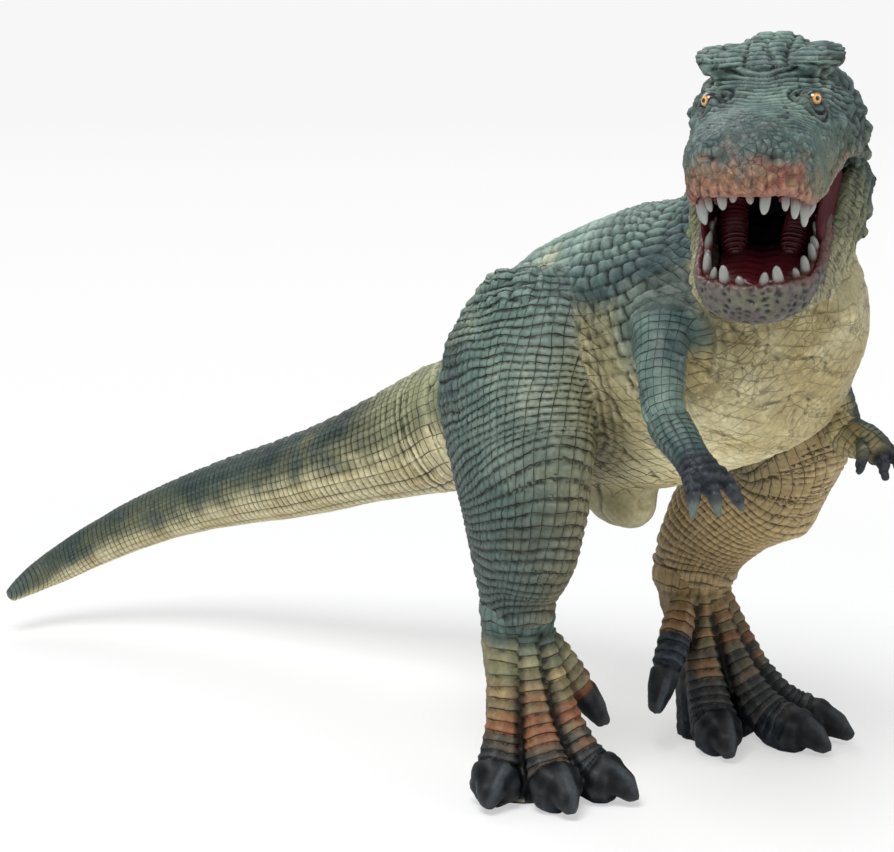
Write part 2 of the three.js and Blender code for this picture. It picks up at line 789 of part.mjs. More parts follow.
const JAW_BOTTOM_SHARE = -0.27;
const slotHalfWidth = JAW_KNUCKLE_WIDTH / 2 + GAP;
const lipInset = LIP_WALL + GUM_RADIUS / 2;
const jawInset = JAW_WALL + GUM_RADIUS / 2;
const gumBack = -JAW_KNUCKLE_RADIUS - WALL;
const upperGum = gumForm(head, lipLine, GUM_RADIUS / 2, lipInset, gumBack);
const lowerGum = gumForm(jaw, jawLipLine, -GUM_RADIUS / 2, jawInset, gumBack);

const hingePeg = (radius, length, grow) => peg(GROUND, LEFT, radius, length, grow);
const neckPlugPlace = shareOf(HEAD_LENGTH, neckPlugShare);
const neckPeg = (grow, matrix) =>
  peg(neckPlugPlace, UP, NECK_PLUG_RADIUS, NECK_PLUG_LENGTH, grow, matrix);
const eyePlace = shareOf(HEAD_LENGTH, eyeShare);
const rightEyePlace = eyePlace.clone().multiply(v3(-1, 1, 1));

const belowLips = sideCutter(
  [
    ...lipLine,
    ...sized(cheekShares, HEAD_LENGTH),
    [cheekShares[1][0] * HEAD_LENGTH, -OVERRUN],
    [-OVERRUN, -OVERRUN],
    [-OVERRUN, lipLine[0][1]],
  ],
  OVERRUN,
);
const jawSlot = join(
  sideCutter([[0, 0], [gumBack, 0], [gumBack, -OVERRUN], [0, -OVERRUN]], slotHalfWidth),
  hingePeg(JAW_KNUCKLE_RADIUS, JAW_KNUCKLE_WIDTH, GAP),
);

// What lies under the roof of the mouth, from the lips' inner face
function mouthRoom(inset) {
  const room = skin(coarse(head), -LIP_WALL - inset);
  const back = -JAW_KNUCKLE_RADIUS - PALATE_WALL - inset;
  return cut(room, past(v3(0, 0, PALATE_HEIGHT - inset), UP), past(v3(0, back, 0), BACK));
}

const headShell = cut(
  join(skin(head), skin(brow), skin(mirrored(brow)), skin(crown)),
  belowLips,
  jawSlot,
  mouthRoom(0),
  gumGroove(upperGum, DOWN),
  skin(neck, GAP, toHead),
  neckPeg(GAP),
  ball(eyePlace, EYE_RADIUS, GAP),
  ball(rightEyePlace, EYE_RADIUS, GAP),
  hingePeg(JAW_PIN_RADIUS, JAW_PIN_LENGTH, GAP),
);
const palate = cut(
  mouthRoom(GAP),
  mouthRoom(GAP + PALATE_WALL),
  belowLips,
  gumGroove(upperGum, DOWN),
);
const jawTop = [
  ...jawLipLine,
  [OVERRUN, jawLipLine[jawLipLine.length - 1][1]],
  [OVERRUN, OVERRUN],
  [-OVERRUN, OVERRUN],
  [-OVERRUN, jawLipLine[0][1]],
];

// What the hollow of the lower jaw holds, from its inner face
function trough(inset) {
  const floor = JAW_BOTTOM_SHARE * JAW_LENGTH + JAW_FLOOR + inset;
  const room = skin(coarse(jaw), -JAW_WALL - inset);
  return cut(room, past(v3(0, 0, floor), DOWN), past(v3(0, gumBack - inset, 0), BACK));
}

const jawBody = cut(skin(jaw), past(GROUND, BACK), sideCutter(jawTop, OVERRUN));
const jawSolid = cut(
  join(jawBody, hingePeg(JAW_KNUCKLE_RADIUS, JAW_KNUCKLE_WIDTH, 0)),
  trough(0),
  gumGroove(lowerGum, UP),
  hingePeg(JAW_PIN_RADIUS, JAW_PIN_LENGTH, GAP),
);
const tongue = {
  rows: rowsFrom(tongueShares, GROUND, JAW_LENGTH, TONGUE_WIDTH, JAW_DEPTH),
  top: UP,
  rings: 7,
  sides: 12,
};
const tongueSolid = skin(tongue).intersect(trough(GAP));

headGroup.add(meshOf("head_shell", headShell, paints.hide));
headGroup.add(meshOf("palate", palate, paints.mouth));
headGroup.add(meshOf("upper_teeth", toothRow(upperGum, DOWN), paints.tooth));
headGroup.add(meshOf("left_eye", ball(eyePlace, EYE_RADIUS), paints.eye));
headGroup.add(meshOf("right_eye", ball(rightEyePlace, EYE_RADIUS), paints.eye));
headGroup.add(meshOf("jaw_pin", hingePeg(JAW_PIN_RADIUS, JAW_PIN_LENGTH, 0), paints.peg));
headGroup.add(meshOf("neck_plug", neckPeg(0), paints.peg));
jawGroup.add(meshOf("lower_jaw", jawSolid, paints.jaw));
jawGroup.add(meshOf("lower_teeth", toothRow(lowerGum, UP), paints.tooth));
jawGroup.add(meshOf("tongue", tongueSolid, paints.mouth));

const figure = new THREE.Group();
figure.add(headGroup);

// Body pieces
const tailPeg = (grow) =>
  peg(tailSeam.place, tailSeam.tangent, TAIL_PLUG_RADIUS, TAIL_PLUG_LENGTH, grow);

// A seam moved along its own direction
const seamAt = ({ place, tangent }, distance) => ({
  place: place.clone().addScaledVector(tangent, distance),
  tangent,
});
const hingeAxis = LEFT.clone().transformDirection(fromHead);
const hollow = join(skin(coarse(torso), -WALL), skin(coarse(neck), -WALL));
const torsoShell = cut(
  join(endAt(bodySkin(0), tailSeam, true), upperArm(rightArm), upperArm(leftArm)),
  endAt(hollow, seamAt(tailSeam, -WALL), true),
  skin(jaw, JAW_CLEARANCE, fromJaw),
  peg(HEAD_SEAT, hingeAxis, JAW_KNUCKLE_RADIUS, JAW_KNUCKLE_WIDTH, JAW_CLEARANCE / 2),
  neckPeg(GAP, fromHead),
  tailPeg(GAP),
  hipPeg(1, GAP),
  hipPeg(-1, GAP),
  elbowPeg(rightArm, GAP),
  elbowPeg(leftArm, GAP),
);
figure.add(meshOf("torso_shell", torsoShell, paints.belly));
// The tail is hollow past the solid root that holds its plug
const tailRoot = seamAt(tailSeam, (TAIL_PLUG_LENGTH - WALL) / 2);
const tailHollow = endAt(skin(coarse(tail), -TAIL_WALL), tailRoot, false);
const tailSolid = cut(endAt(skin(tail), tailSeam, false), tailHollow, tailPeg(GAP));
figure.add(meshOf("tail", tailSolid, paints.tail));
figure.add(meshOf("right_leg", legSolid(rightLeg, -1), paints.hide));
figure.add(meshOf("left_leg", legSolid(leftLeg, 1), paints.belly));
figure.add(meshOf("right_foot", foot(rightLeg, rightToeTips, rightBackToeTip), paints.foot));
figure.add(meshOf("left_foot", foot(leftLeg, leftToeTips, leftBackToeTip), paints.foot));
figure.add(meshOf("right_forearm", forearm(rightArm), paints.hand));
figure.add(meshOf("left_forearm", forearm(leftArm), paints.hand));
figure.add(meshOf("right_elbow_plug", elbowPeg(rightArm, 0), paints.peg));
figure.add(meshOf("left_elbow_plug", elbowPeg(leftArm, 0), paints.peg));
figure.add(meshOf("right_hip_plug", hipPeg(-1, 0), paints.peg));
figure.add(meshOf("left_hip_plug", hipPeg(1, 0), paints.peg));
figure.add(meshOf("tail_plug", tailPeg(0), paints.peg));

// The origin lies under the middle of the whole figure, on the ground
const bounds = new THREE.Box3().setFromObject(figure, true);
const middle = bounds.getCenter(v3(0, 0, 0));
figure.position.set(-middle.x, -middle.y, -bounds.min.z);

export default figure;
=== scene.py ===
"""Looks of a moulded, hand-painted dinosaur toy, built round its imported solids.

Lengths inside the functions are in millimetres, in the frame of the solids.
"""

import math

import bmesh
import bpy
import numpy as np
from mathutils import Matrix, Vector
from mathutils.bvhtree import BVHTree


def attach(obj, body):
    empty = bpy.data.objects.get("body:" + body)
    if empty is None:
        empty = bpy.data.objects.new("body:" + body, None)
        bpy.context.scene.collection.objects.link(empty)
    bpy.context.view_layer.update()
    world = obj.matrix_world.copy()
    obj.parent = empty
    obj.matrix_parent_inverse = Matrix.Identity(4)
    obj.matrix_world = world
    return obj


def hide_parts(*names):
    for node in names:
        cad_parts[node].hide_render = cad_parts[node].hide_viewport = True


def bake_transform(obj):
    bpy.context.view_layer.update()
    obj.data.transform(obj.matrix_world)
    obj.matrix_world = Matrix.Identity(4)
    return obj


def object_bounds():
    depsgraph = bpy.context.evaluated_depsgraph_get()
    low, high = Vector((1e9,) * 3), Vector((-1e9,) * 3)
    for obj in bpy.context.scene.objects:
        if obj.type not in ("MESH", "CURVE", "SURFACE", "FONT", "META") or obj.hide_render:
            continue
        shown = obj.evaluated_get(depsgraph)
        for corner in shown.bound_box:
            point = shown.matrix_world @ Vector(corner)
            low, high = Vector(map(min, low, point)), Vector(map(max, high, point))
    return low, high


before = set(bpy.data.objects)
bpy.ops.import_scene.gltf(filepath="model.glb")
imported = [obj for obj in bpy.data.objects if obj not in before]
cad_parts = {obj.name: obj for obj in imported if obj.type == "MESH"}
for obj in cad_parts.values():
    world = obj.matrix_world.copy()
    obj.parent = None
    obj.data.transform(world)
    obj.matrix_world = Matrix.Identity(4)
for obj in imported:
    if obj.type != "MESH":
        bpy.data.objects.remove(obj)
solid_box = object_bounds()

MM = 0.001
TURN = math.tau
WELD = 0.02
FIGURE, JAW, TAIL = "figure", "jaw", "tail_body"

# Camera at the photograph's angle
AIM = (-7.5, -3.6, 80)
CAMERA_TURN = -33
CAMERA_RISE = 11
CAMERA_REACH = 600
CAMERA_LENS = 94.2
CAMERA_SENSOR = 36
CAMERA_NEAR = 0.01


def rgb(code):
    """A colour code as linear light"""
    parts = [int(code[i : i + 2], 16) / 255 for i in (1, 3, 5)]
    return np.array([p / 12.92 if p <= 0.04045 else ((p + 0.055) / 1.055) ** 2.4 for p in parts])


TEAL = rgb("#52665f")
DEEP_TEAL = rgb("#324444")
PALE_TEAL = rgb("#7c8d82")
CREAM = rgb("#c3ba94")
WARM_CREAM = rgb("#a99a6c")
OLIVE = rgb("#7b7e60")
TAN = rgb("#a18c62")
BROWN = rgb("#6b5238")
RUST = rgb("#74432c")
NAVY = rgb("#1e2730")
INK = rgb("#101419")
SHEEN = rgb("#43525c")
MUZZLE = rgb("#91674f")
LIP = rgb("#6e3430")
MAUVE = rgb("#57504b")
MAROON = rgb("#4d121c")
FLESH = rgb("#6a212b")
# What a groove leaves of the light
GROOVE = np.array([0.16, 0.12, 0.08])


# Steps between two values, and noise

def ramp(value, low, high):
    """0 below low, 1 above high, smooth between"""
    share = np.clip((value - low) / (high - low), 0, 1)
    return share * share * (3 - 2 * share)


def hump(value, middle, half):
    return np.exp(-(((value - middle) / half) ** 2))


def mixed(first, second, share):
    return first + (second - first) * np.asarray(share)[..., None]


def off_middle(value):
    """How far a value is from the middle of its cell, up to 1 at the cell's edge"""
    return np.abs((value % 1) * 2 - 1)


def coats(colour, *layers):
    """Lays paint over a colour, each layer with how much of it shows"""
    for paint, share in layers:
        colour = mixed(colour, paint, share)
    return colour


HASH_PRIMES = np.array([73856093, 19349663, 83492791], dtype=np.int64)
HASH_SEED_STEP, HASH_SPREAD, HASH_MASK = 2654435761, 1274126177, 0xFFFFFF


def hashed(cells, seed):
    """A number from 0 to 1 for each cell, the same in every run"""
    mix = (cells * HASH_PRIMES[: cells.shape[-1]]).sum(-1) + seed * HASH_SEED_STEP
    mix = (mix ^ (mix >> 13)) * HASH_SPREAD
    mix = (mix ^ (mix >> 16)) & HASH_MASK
    return mix / HASH_MASK


def noise(places, size, seed):
    """Smooth noise from -1 to 1 with features of a given size"""
    scaled = places / size
    low = np.floor(scaled).astype(np.int64)
    part = scaled - low
    part = part * part * (3 - 2 * part)
    total = 0
    for corner in range(8):
        step = np.array([corner & 1, corner >> 1 & 1, corner >> 2 & 1])
        weight = np.where(step, part, 1 - part).prod(-1)
        total = total + weight * hashed(low + step, seed)
    return total * 2 - 1


# What each layer of noise divides the size by, and its weight
NOISE_LAYERS = ((1, 0.55), (2.1, 0.3), (4.3, 0.15))


def layered(places, size, seed):
    return sum(
        noise(places, size / finer, seed + at) * weight
        for at, (finer, weight) in enumerate(NOISE_LAYERS)
    )


def pebbles(places, size, seed):
    """Distance from the nearest edge between scattered pebbles, and the pebble's number"""
    scaled = places / size
    low = np.floor(scaled).astype(np.int64)
    near = np.full(len(places), 9.0)
    second = near.copy()
    owner = np.zeros(len(places))
    for step in np.ndindex(3, 3, 3):
        cell = low + np.array(step) - 1
        jitter = np.stack([hashed(cell, seed + k) for k in (11, 12, 13)], -1)
        gap = np.linalg.norm(cell + jitter - scaled, axis=-1)
        closer = gap < near
        second = np.where(closer, near, np.minimum(second, gap))
        owner = np.where(closer, hashed(cell, seed + 14), owner)
        near = np.where(closer, gap, near)
    return second - near, owner


# Spines that patterns and paint follow

# Steps from one chosen place to the next, and places that are looked up at a time
SPINE_STEPS = 16
BATCH = 8000


class Spine:
    """A smooth line through given places, with a side that counts as its top"""

    def __init__(self, places, top):
        places, top = np.array(places, float), np.array(top, float)
        ends = np.vstack([2 * places[0] - places[1], places, 2 * places[-1] - places[-2]])
        fine = []
        for a, b, c, d in zip(ends, ends[1:], ends[2:], ends[3:]):
            for share in np.linspace(0, 1, SPINE_STEPS, endpoint=False):
                bend = (
                    2 * b
                    + (c - a) * share
                    + (2 * a - 5 * b + 4 * c - d) * share**2
                    + (3 * b - a - 3 * c + d) * share**3
                )
                fine.append(bend / 2)
        self.line = np.array(fine + [places[-1]])
        steps = np.linalg.norm(np.diff(self.line, axis=0), axis=1)
        self.reach = np.concatenate([[0], np.cumsum(steps)])
        ahead = np.gradient(self.line, axis=0)
        self.ahead = ahead / np.linalg.norm(ahead, axis=1)[:, None]
        up = top - self.ahead * (self.ahead @ top)[:, None]
        self.up = up / np.linalg.norm(up, axis=1)[:, None]
        self.side = np.cross(self.up, self.ahead)

    def read(self, places):
        """Distance along, turn round from the top, and distance off, for each place"""
        nearest = np.concatenate(
            [
                ((part[:, None] - self.line[None]) ** 2).sum(-1).argmin(1)
                for part in np.array_split(places, len(places) // BATCH + 1)
            ]
        )
        off = places - self.line[nearest]
        along = (off * self.ahead[nearest]).sum(-1)
        up = (off * self.up[nearest]).sum(-1)
        side = (off * self.side[nearest]).sum(-1)
        return self.reach[nearest] + along, np.arctan2(side, up), np.hypot(side, up)


TRUNK_LINE = [
    (11, 29, 71), (15, 17, 77), (16, -5, 86), (17, -23, 93), (18, -45, 99),
    (20, -65, 107), (24, -80, 118), (28, -88, 133), (30, -91, 148), (30, -92, 165),
]
TAIL_LINE = [
    (15, 17, 77), (11, 29, 71), (1, 49, 62), (-7, 70, 54), (-16, 90, 47),
    (-27, 109, 39), (-40, 123, 31), (-55, 136, 20), (-65, 138, 15), (-71, 138, 12),
]
RIGHT_LEG_LINE = [
    (-6, -40, 124), (-10, -42, 112), (-13, -44, 98), (-15, -48, 84),
    (-17, -53, 72), (-18, -54, 60), (-18, -52, 51), (-18, -51, 40),
]
LEFT_LEG_LINE = [
    (40, -37, 118), (43, -43, 106), (46, -52, 94), (51, -61, 82),
    (53, -62, 73), (51, -51, 61), (48, -42, 50), (46, -39, 40),
]
RIGHT_ARM_LINE = [(-2, -85, 119), (-9.5, -94, 111), (-13.5, -99, 103), (-14.7, -103.3, 97.8)]
LEFT_ARM_LINE = [(39.7, -79, 112), (45.3, -84.5, 101), (48.5, -88, 91.4), (49.3, -91.3, 85.8)]
UP, DOWN, FRONT = (0, 0, 1), (0, 0, -1), (0, -1, 0)
trunk = Spine(TRUNK_LINE, UP)
tail = Spine(TAIL_LINE, UP)
right_leg = Spine(RIGHT_LEG_LINE, FRONT)
left_leg = Spine(LEFT_LEG_LINE, FRONT)
right_arm = Spine(RIGHT_ARM_LINE, FRONT)
left_arm = Spine(LEFT_ARM_LINE, FRONT)

# The head's own frame: hinge at its origin, snout towards -Y
HEAD_SEAT = Vector((18.95, -99.34, 157))
HEAD_TURN, HEAD_NOD, HEAD_TILT, JAW_GAPE = -49, 6, -2, 18


def turned(axis, degrees):
    return Matrix.Rotation(math.radians(degrees), 3, axis)


head_turn = turned("Z", HEAD_TURN) @ turned("X", HEAD_NOD) @ turned("Y", HEAD_TILT)
jaw_turn = head_turn @ turned("X", JAW_GAPE)


def into(turn, places):
    """Places in the frame of the head or the jaw"""
    return (places - np.array(HEAD_SEAT)) @ np.array(turn)


def out_of(turn, places):
    return np.asarray(places) @ np.array(turn).T + np.array(HEAD_SEAT)


# Meshes

def mesh_from(bm, name):
    mesh = bpy.data.meshes.new(name)
    bm.to_mesh(mesh)
    bm.free()
    return mesh


def new_piece(name, mesh, body):
    piece = bpy.data.objects.new(name, mesh)
    bpy.context.collection.objects.link(piece)
    if body:
        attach(piece, body)
    return piece


def smooth(mesh):
    mesh.polygons.foreach_set("use_smooth", [True] * len(mesh.polygons))


def read(items, key, width, kind=float):
    """What the items of a mesh hold under a key, one row for each item"""
    flat = np.empty(len(items) * width, kind)
    items.foreach_get(key, flat)
    return flat.reshape(-1, width)


def places_of(piece):
    return read(piece.data.vertices, "co", 3) / MM


def normals_of(piece):
    return read(piece.data.vertices, "normal", 3)


def edges_of(piece):
    return read(piece.data.edges, "vertices", 2, np.int64).T


def set_places(piece, places):
    piece.data.vertices.foreach_set("co", (places * MM).ravel())
    piece.data.update()


def raised(piece, places, relief):
    """Moves each place out by a relief in millimetres"""
    set_places(piece, places + normals_of(piece) * relief[:, None])


def applied(piece, kind, **settings):
    modifier = piece.modifiers.new(kind.title(), kind)
    for name, value in settings.items():
        setattr(modifier, name, value)
    graph = bpy.context.evaluated_depsgraph_get()
    mesh = bpy.data.meshes.new_from_object(piece.evaluated_get(graph))
    piece.modifiers.clear()
    old, piece.data = piece.data, mesh
    bpy.data.meshes.remove(old)


def averager(piece):
    """Gives a function that averages values over the neighbours of each vertex"""
    first, second = edges_of(piece)
    size = len(piece.data.vertices)
    count = np.bincount(np.r_[first, second], minlength=size).clip(1)[:, None]

    def average(values):
        total = [
            np.bincount(first, column[second], size) + np.bincount(second, column[first], size)
            for column in values.T
        ]
        return np.stack(total, -1) / count

    return average


# How far a step of evening out goes, and the step back that keeps the size
EVEN_OUT, EVEN_BACK = 0.5, -0.52
SOFTEN = 0.6


def relaxed(piece, steps):
    """Evens out a mesh without shrinking it"""
    places = places_of(piece)
    average = averager(piece)
    for step in range(steps * 2):
        places = places + (average(places) - places) * (EVEN_BACK if step % 2 else EVEN_OUT)
    set_places(piece, places)


def softened(piece, steps, where):
    """Rounds off the places that where picks out, and fills what lies between them"""
    places = places_of(piece)
    average = averager(piece)
    for _ in range(steps):
        places = places + (average(places) - places) * SOFTEN * where[:, None]
    set_places(piece, places)


def cuffed(piece, seat, axis, depth, swell=0.0, within=math.inf):
    """Carries the end of a piece a little way past its seam, so that no gap shows"""
    places = places_of(piece)
    seat, axis = np.array(seat), np.array(axis)
    near = (places - seat) @ axis
    off = np.linalg.norm(places - seat - near[:, None] * axis, axis=1)
    share = ramp(near, -1.8, -0.4) * (off < within)
    flare = ramp(near, -6, -0.6) * swell
    moved = places + share[:, None] * axis * depth
    outward = normals_of(piece) * [1, 1, 0]
    set_places(piece, moved + outward * flare[:, None])


def without_inside(piece):
    """Keeps the largest connected skin, so that a filled hollow's inner skin goes"""
    first, second = edges_of(piece)
    owner = np.arange(len(piece.data.vertices))
    while True:
        low = np.minimum(owner[first], owner[second])
        merged = owner.copy()
        np.minimum.at(merged, first, low)
        np.minimum.at(merged, second, low)
        merged = merged[merged]
        if (merged == owner).all():
            break
        owner = merged
    names, counts = np.unique(owner, return_counts=True)
    loose = np.flatnonzero(owner != names[counts.argmax()])
    bm = bmesh.new()
    bm.from_mesh(piece.data)
    bm.verts.ensure_lookup_table()
    bmesh.ops.delete(bm, geom=[bm.verts[i] for i in loose], context="VERTS")
    bm.to_mesh(piece.data)
    bm.free()


def skin_of(name, body, nodes, grain, even, fillers=()):
    """One closed skin round the solids of some nodes"""
    bm = bmesh.new()
    for node in (*nodes, *fillers):
        bm.from_mesh(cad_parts[node].data)
    bmesh.ops.remove_doubles(bm, verts=bm.verts, dist=WELD * MM)
    piece = new_piece(name, mesh_from(bm, name), body)
    applied(piece, "REMESH", mode="VOXEL", voxel_size=grain * MM, use_smooth_shade=True)
    without_inside(piece)
    relaxed(piece, even)
    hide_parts(*nodes)
    smooth(piece.data)
    return piece


def value_on(piece, name, values):
    layer = piece.data.attributes.new(name, "FLOAT", "POINT")
    layer.data.foreach_set("value", values)


def value_off(piece, name):
    """Takes a value off a piece again"""
    layer = piece.data.attributes[name]
    values = read(layer.data, "value", 1)[:, 0]
    piece.data.attributes.remove(layer)
    return values


def coated(piece, colours, plate=None, crack=None):
    """Puts on a piece's own colours, and how far its plates and its cracks show"""
    layer = piece.data.color_attributes.new("paint", "FLOAT_COLOR", "POINT")
    layer.data.foreach_set("color", np.c_[np.clip(colours, 0, 1), np.ones(len(colours))].ravel())
    for name, shown in (("plate", plate), ("crack", crack)):
        if shown is not None:
            value_on(piece, name, np.full(len(colours), np.maximum(shown, 0), float))


CELL_WIDTH = 1.7
# A count of cells that no piece reaches, so that nothing wraps
NO_WRAP = 1e6


def cells_on(piece, across, along, around):
    """A UV map of cells: across wraps after `around` cells, and along runs on"""
    mesh = piece.data
    corner = read(mesh.loops, "vertex_index", 1, np.int64)[:, 0]
    start = read(mesh.polygons, "loop_start", 1, np.int64)[:, 0]
    total = read(mesh.polygons, "loop_total", 1, np.int64)[:, 0]
    face = np.repeat(np.arange(len(start)), total)
    wrap = np.broadcast_to(around, len(across))[corner]
    first = across[corner][start][face]
    value = across[corner]
    value = value - np.round((value - first) / wrap) * wrap
    layer = mesh.uv_layers.new(name="cells")
    layer.data.foreach_set("uv", np.stack([value * CELL_WIDTH, along[corner]], -1).ravel())


def plates(across, along, offset=0.0):
    """Height of a grid of plates, 1 in their middles and 0 in the grooves"""
    row = np.floor(along)
    shifted = across + offset * (row % 2)
    return (1 - off_middle(shifted) ** 4) * (1 - off_middle(along) ** 4)


# Materials

WOBBLE_GRAIN, PATCH_GRAIN, HIDE_GRAIN, FINE_GRAIN = 260, 150, 900, 1500
COAT_ROUGHNESS = 0.25
BUMP_STRENGTH = 0.8
# Dry brushing and painted highlights on what stands proud: how much lighter, and what they add
DRY_HIGHLIGHT_GAIN, DRY_HIGHLIGHT_LIFT = 1.6, 0.05


class Tree:
    """A node tree with short ways to add and join what a look needs"""

    def __init__(self, owner):
        owner.use_nodes = True
        self.nodes = owner.node_tree.nodes
        self.links = owner.node_tree.links

    def add(self, kind, links=(), **values):
        node = self.nodes.new("ShaderNode" + kind)
        for key, value in values.items():
            if hasattr(node, key):
                setattr(node, key, value)
            else:
                node.inputs[key].default_value = value
        for socket, source in dict(links).items():
            self.links.new(source, node.inputs[socket])
        return node

    def seen_as(self, share, lit, seen, output):
        """Shows the camera one shader, and gives the scene light from another"""
        mix = self.add("MixShader", {0: share, 1: lit.outputs[0], 2: seen.outputs[0]})
        self.links.new(mix.outputs[0], self.nodes[output].inputs["Surface"])


class Paint(Tree):
    """A material that is built up from grain, lines and relief"""

    def __init__(self, name, roughness, coat=0.0, shine=0.5):
        self.material = bpy.data.materials.new(name)
        super().__init__(self.material)
        self.shader = self.nodes["Principled BSDF"]
        self.shader.inputs["Roughness"].default_value = roughness
        self.shader.inputs["Coat Weight"].default_value = coat
        self.shader.inputs["Coat Roughness"].default_value = COAT_ROUGHNESS
        self.shader.inputs["Specular IOR Level"].default_value = shine
        self.coord = self.add("TexCoord").outputs
        self.height = None

    def attribute(self, name):
        return self.add("Attribute", attribute_name=name).outputs

    def noise(self, scale, detail):
        links = {"Vector": self.coord["Object"]}
        return self.add("TexNoise", links, Scale=scale, Detail=detail).outputs

    def span(self, value, limits, kind="LINEAR"):
        """Carries a value from one range over to another"""
        node = self.add("MapRange", {"Value": value}, interpolation_type=kind)
        for socket, limit in zip(("From Min", "From Max", "To Min", "To Max"), limits):
            node.inputs[socket].default_value = limit
        return node.outputs[0]

    def math(self, operation, *values):
        node = self.add("Math", operation=operation)
        for socket, value in zip(node.inputs, values):
            if isinstance(value, (int, float)):
                socket.default_value = value
            else:
                self.links.new(value, socket)
        return node.outputs[0]

    def times(self, colour, factor, share=1.0):
        """A colour multiplied by another, as far as share says"""
        node = self.add("Mix", data_type="RGBA", blend_type="MULTIPLY")
        for place, value in ((0, share), (6, colour), (7, factor)):
            if hasattr(value, "is_output"):
                self.links.new(value, node.inputs[place])
            elif np.ndim(value):
                node.inputs[place].default_value = (*value, 1)
            else:
                node.inputs[place].default_value = value
        return node.outputs[2]

    def raise_by(self, height, depth):
        """Adds a height in millimetres to the bump"""
        scaled = self.math("MULTIPLY", height, depth)
        self.height = self.math("ADD", self.height, scaled) if self.height else scaled

    def done(self, colour):
        self.links.new(colour, self.shader.inputs["Base Color"])
        if self.height:
            bump = self.add("Bump", {"Height": self.height}, Distance=MM, Strength=BUMP_STRENGTH)
            self.links.new(bump.outputs[0], self.shader.inputs["Normal"])
        return self.material


def hide_paint(name, roughness=0.5, line=0.07, offset=0.0, crack=5.0, coat=0.0, shine=0.3):
    """Airbrushed vinyl with moulded plates, a dark wash and painted shade in the grooves, and fine
    grain
    """
    paint = Paint(name, roughness, coat, shine)
    wobble = paint.noise(WOBBLE_GRAIN, 2)["Color"]
    shift = paint.add("VectorMath", {0: wobble}, operation="SCALE", Scale=0.22)
    cells = paint.add("VectorMath", {0: paint.coord["UV"], 1: shift.outputs[0]}, operation="ADD")
    bricks = {
        "Scale": 1,
        "Mortar Size": line,
        "Mortar Smooth": 0.5,
        "Brick Width": CELL_WIDTH,
        "Row Height": 1,
    }
    grid = paint.add("TexBrick", {"Vector": cells.outputs[0]}, offset=offset, **bricks)
    lines = paint.math("MULTIPLY", grid.outputs["Fac"], paint.attribute("plate")["Fac"])
    web = paint.add(
        "TexVoronoi",
        {"Vector": paint.coord["Object"]},
        feature="DISTANCE_TO_EDGE",
        Scale=1 / (crack * MM),
    )
    edge = paint.span(web.outputs["Distance"], (0, 0.06, 1, 0), "SMOOTHSTEP")
    cracks = paint.math("MULTIPLY", edge, paint.attribute("crack")["Fac"])
    fade = paint.span(paint.noise(PATCH_GRAIN, 2)["Fac"], (0.4, 0.58, 0.5, 1))
    grooves = paint.math("MULTIPLY", paint.math("MAXIMUM", lines, cracks), fade)
    grain = paint.noise(HIDE_GRAIN, 3)["Fac"]
    shade = paint.span(grain, (0.3, 0.7, 0.82, 1.18))
    colour = paint.times(paint.attribute("paint")["Color"], shade)
    # The grooves darken: a dark wash, and painted shade
    colour = paint.times(colour, GROOVE, paint.math("MULTIPLY", grooves, 0.95))
    paint.raise_by(grooves, -0.35)
    paint.raise_by(grain, 0.08)
    return paint.done(colour)


def plain_paint(name, colour, roughness, coat=0.0, speck=0.15, size=500, bump=0.1, shine=0.5):
    """One colour of moulded plastic with a little unevenness"""
    paint = Paint(name, roughness, coat, shine)
    mottle = paint.noise(size, 3)["Fac"]
    shade = paint.math("MULTIPLY_ADD", mottle, speck * 2, 1 - speck)
    paint.raise_by(mottle, bump)
    return paint.done(paint.times(colour, shade))


def painted(name, roughness, coat):
    """Paint from the piece's own colours, with fine grain"""
    paint = Paint(name, roughness, coat)
    paint.raise_by(paint.noise(FINE_GRAIN, 2)["Fac"], 0.02)
    return paint.done(paint.attribute("paint")["Color"])


def wear(piece, material):
    piece.data.materials.clear()
    if material:
        piece.data.materials.append(material)


def wash_and_painted_light(piece, colours, steps, depth, wash, dry):
    """Dark wash and painted shade in what lies below its surroundings, dry brushing and painted
    highlights on what stands proud
    """
    places = places_of(piece)
    average = averager(piece)
    around = places
    for _ in range(steps):
        around = average(around)
    cavity = ((around - places) * normals_of(piece)).sum(-1)
    low = ramp(cavity, depth * 0.1, depth) * wash
    high = ramp(-cavity, depth * 0.1, depth * 0.9) * dry
    colours = colours * (1 - low)[:, None]
    return mixed(colours, np.clip(colours * DRY_HIGHLIGHT_GAIN + DRY_HIGHLIGHT_LIFT, 0, 1), high)


# Seams, and the ways that the pieces leave them
TAIL_SEAT = (14.7, 16.7, 77)
TAIL_WAY = (-0.185, 0.895, -0.407)
RIGHT_ANKLE = (-18.2, -51.8, 43.7)
LEFT_ANKLE = (45.8, -39.2, 41.7)
RIGHT_FOREARM_WAY = (0.157, 0.734, 0.66)
LEFT_FOREARM_WAY = (-0.203, 0.812, 0.548)
ANKLE_WITHIN = 20
TAIL_WITHIN = 24


# Body

# The grain that each skin is made at
BODY_GRAIN, TAIL_GRAIN, FOOT_GRAIN = 1.3, 0.72, 0.7
FOREARM_GRAIN, HEAD_GRAIN, MOUTH_GRAIN = 0.5, 0.56, 0.5
RIGHT_SHOULDER = (-4, -86, 121)
FLAP_TOP = 72
# How much of the fine mesh stays
BODY_KEPT = 0.455
LEG_AROUND, ARM_AROUND, TRUNK_AROUND, TAIL_AROUND = 44, 18, 58, 36
GAPS = ("right_gap", "left_gap", "trunk_gap")


def gap_to(places, node):
    """Distance from each place to the nearest of a solid"""
    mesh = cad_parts[node].data
    tree = BVHTree.FromPolygons(
        [v.co / MM for v in mesh.vertices], [tuple(p.vertices) for p in mesh.polygons]
    )
    return np.array([tree.find_nearest(p)[3] for p in places])


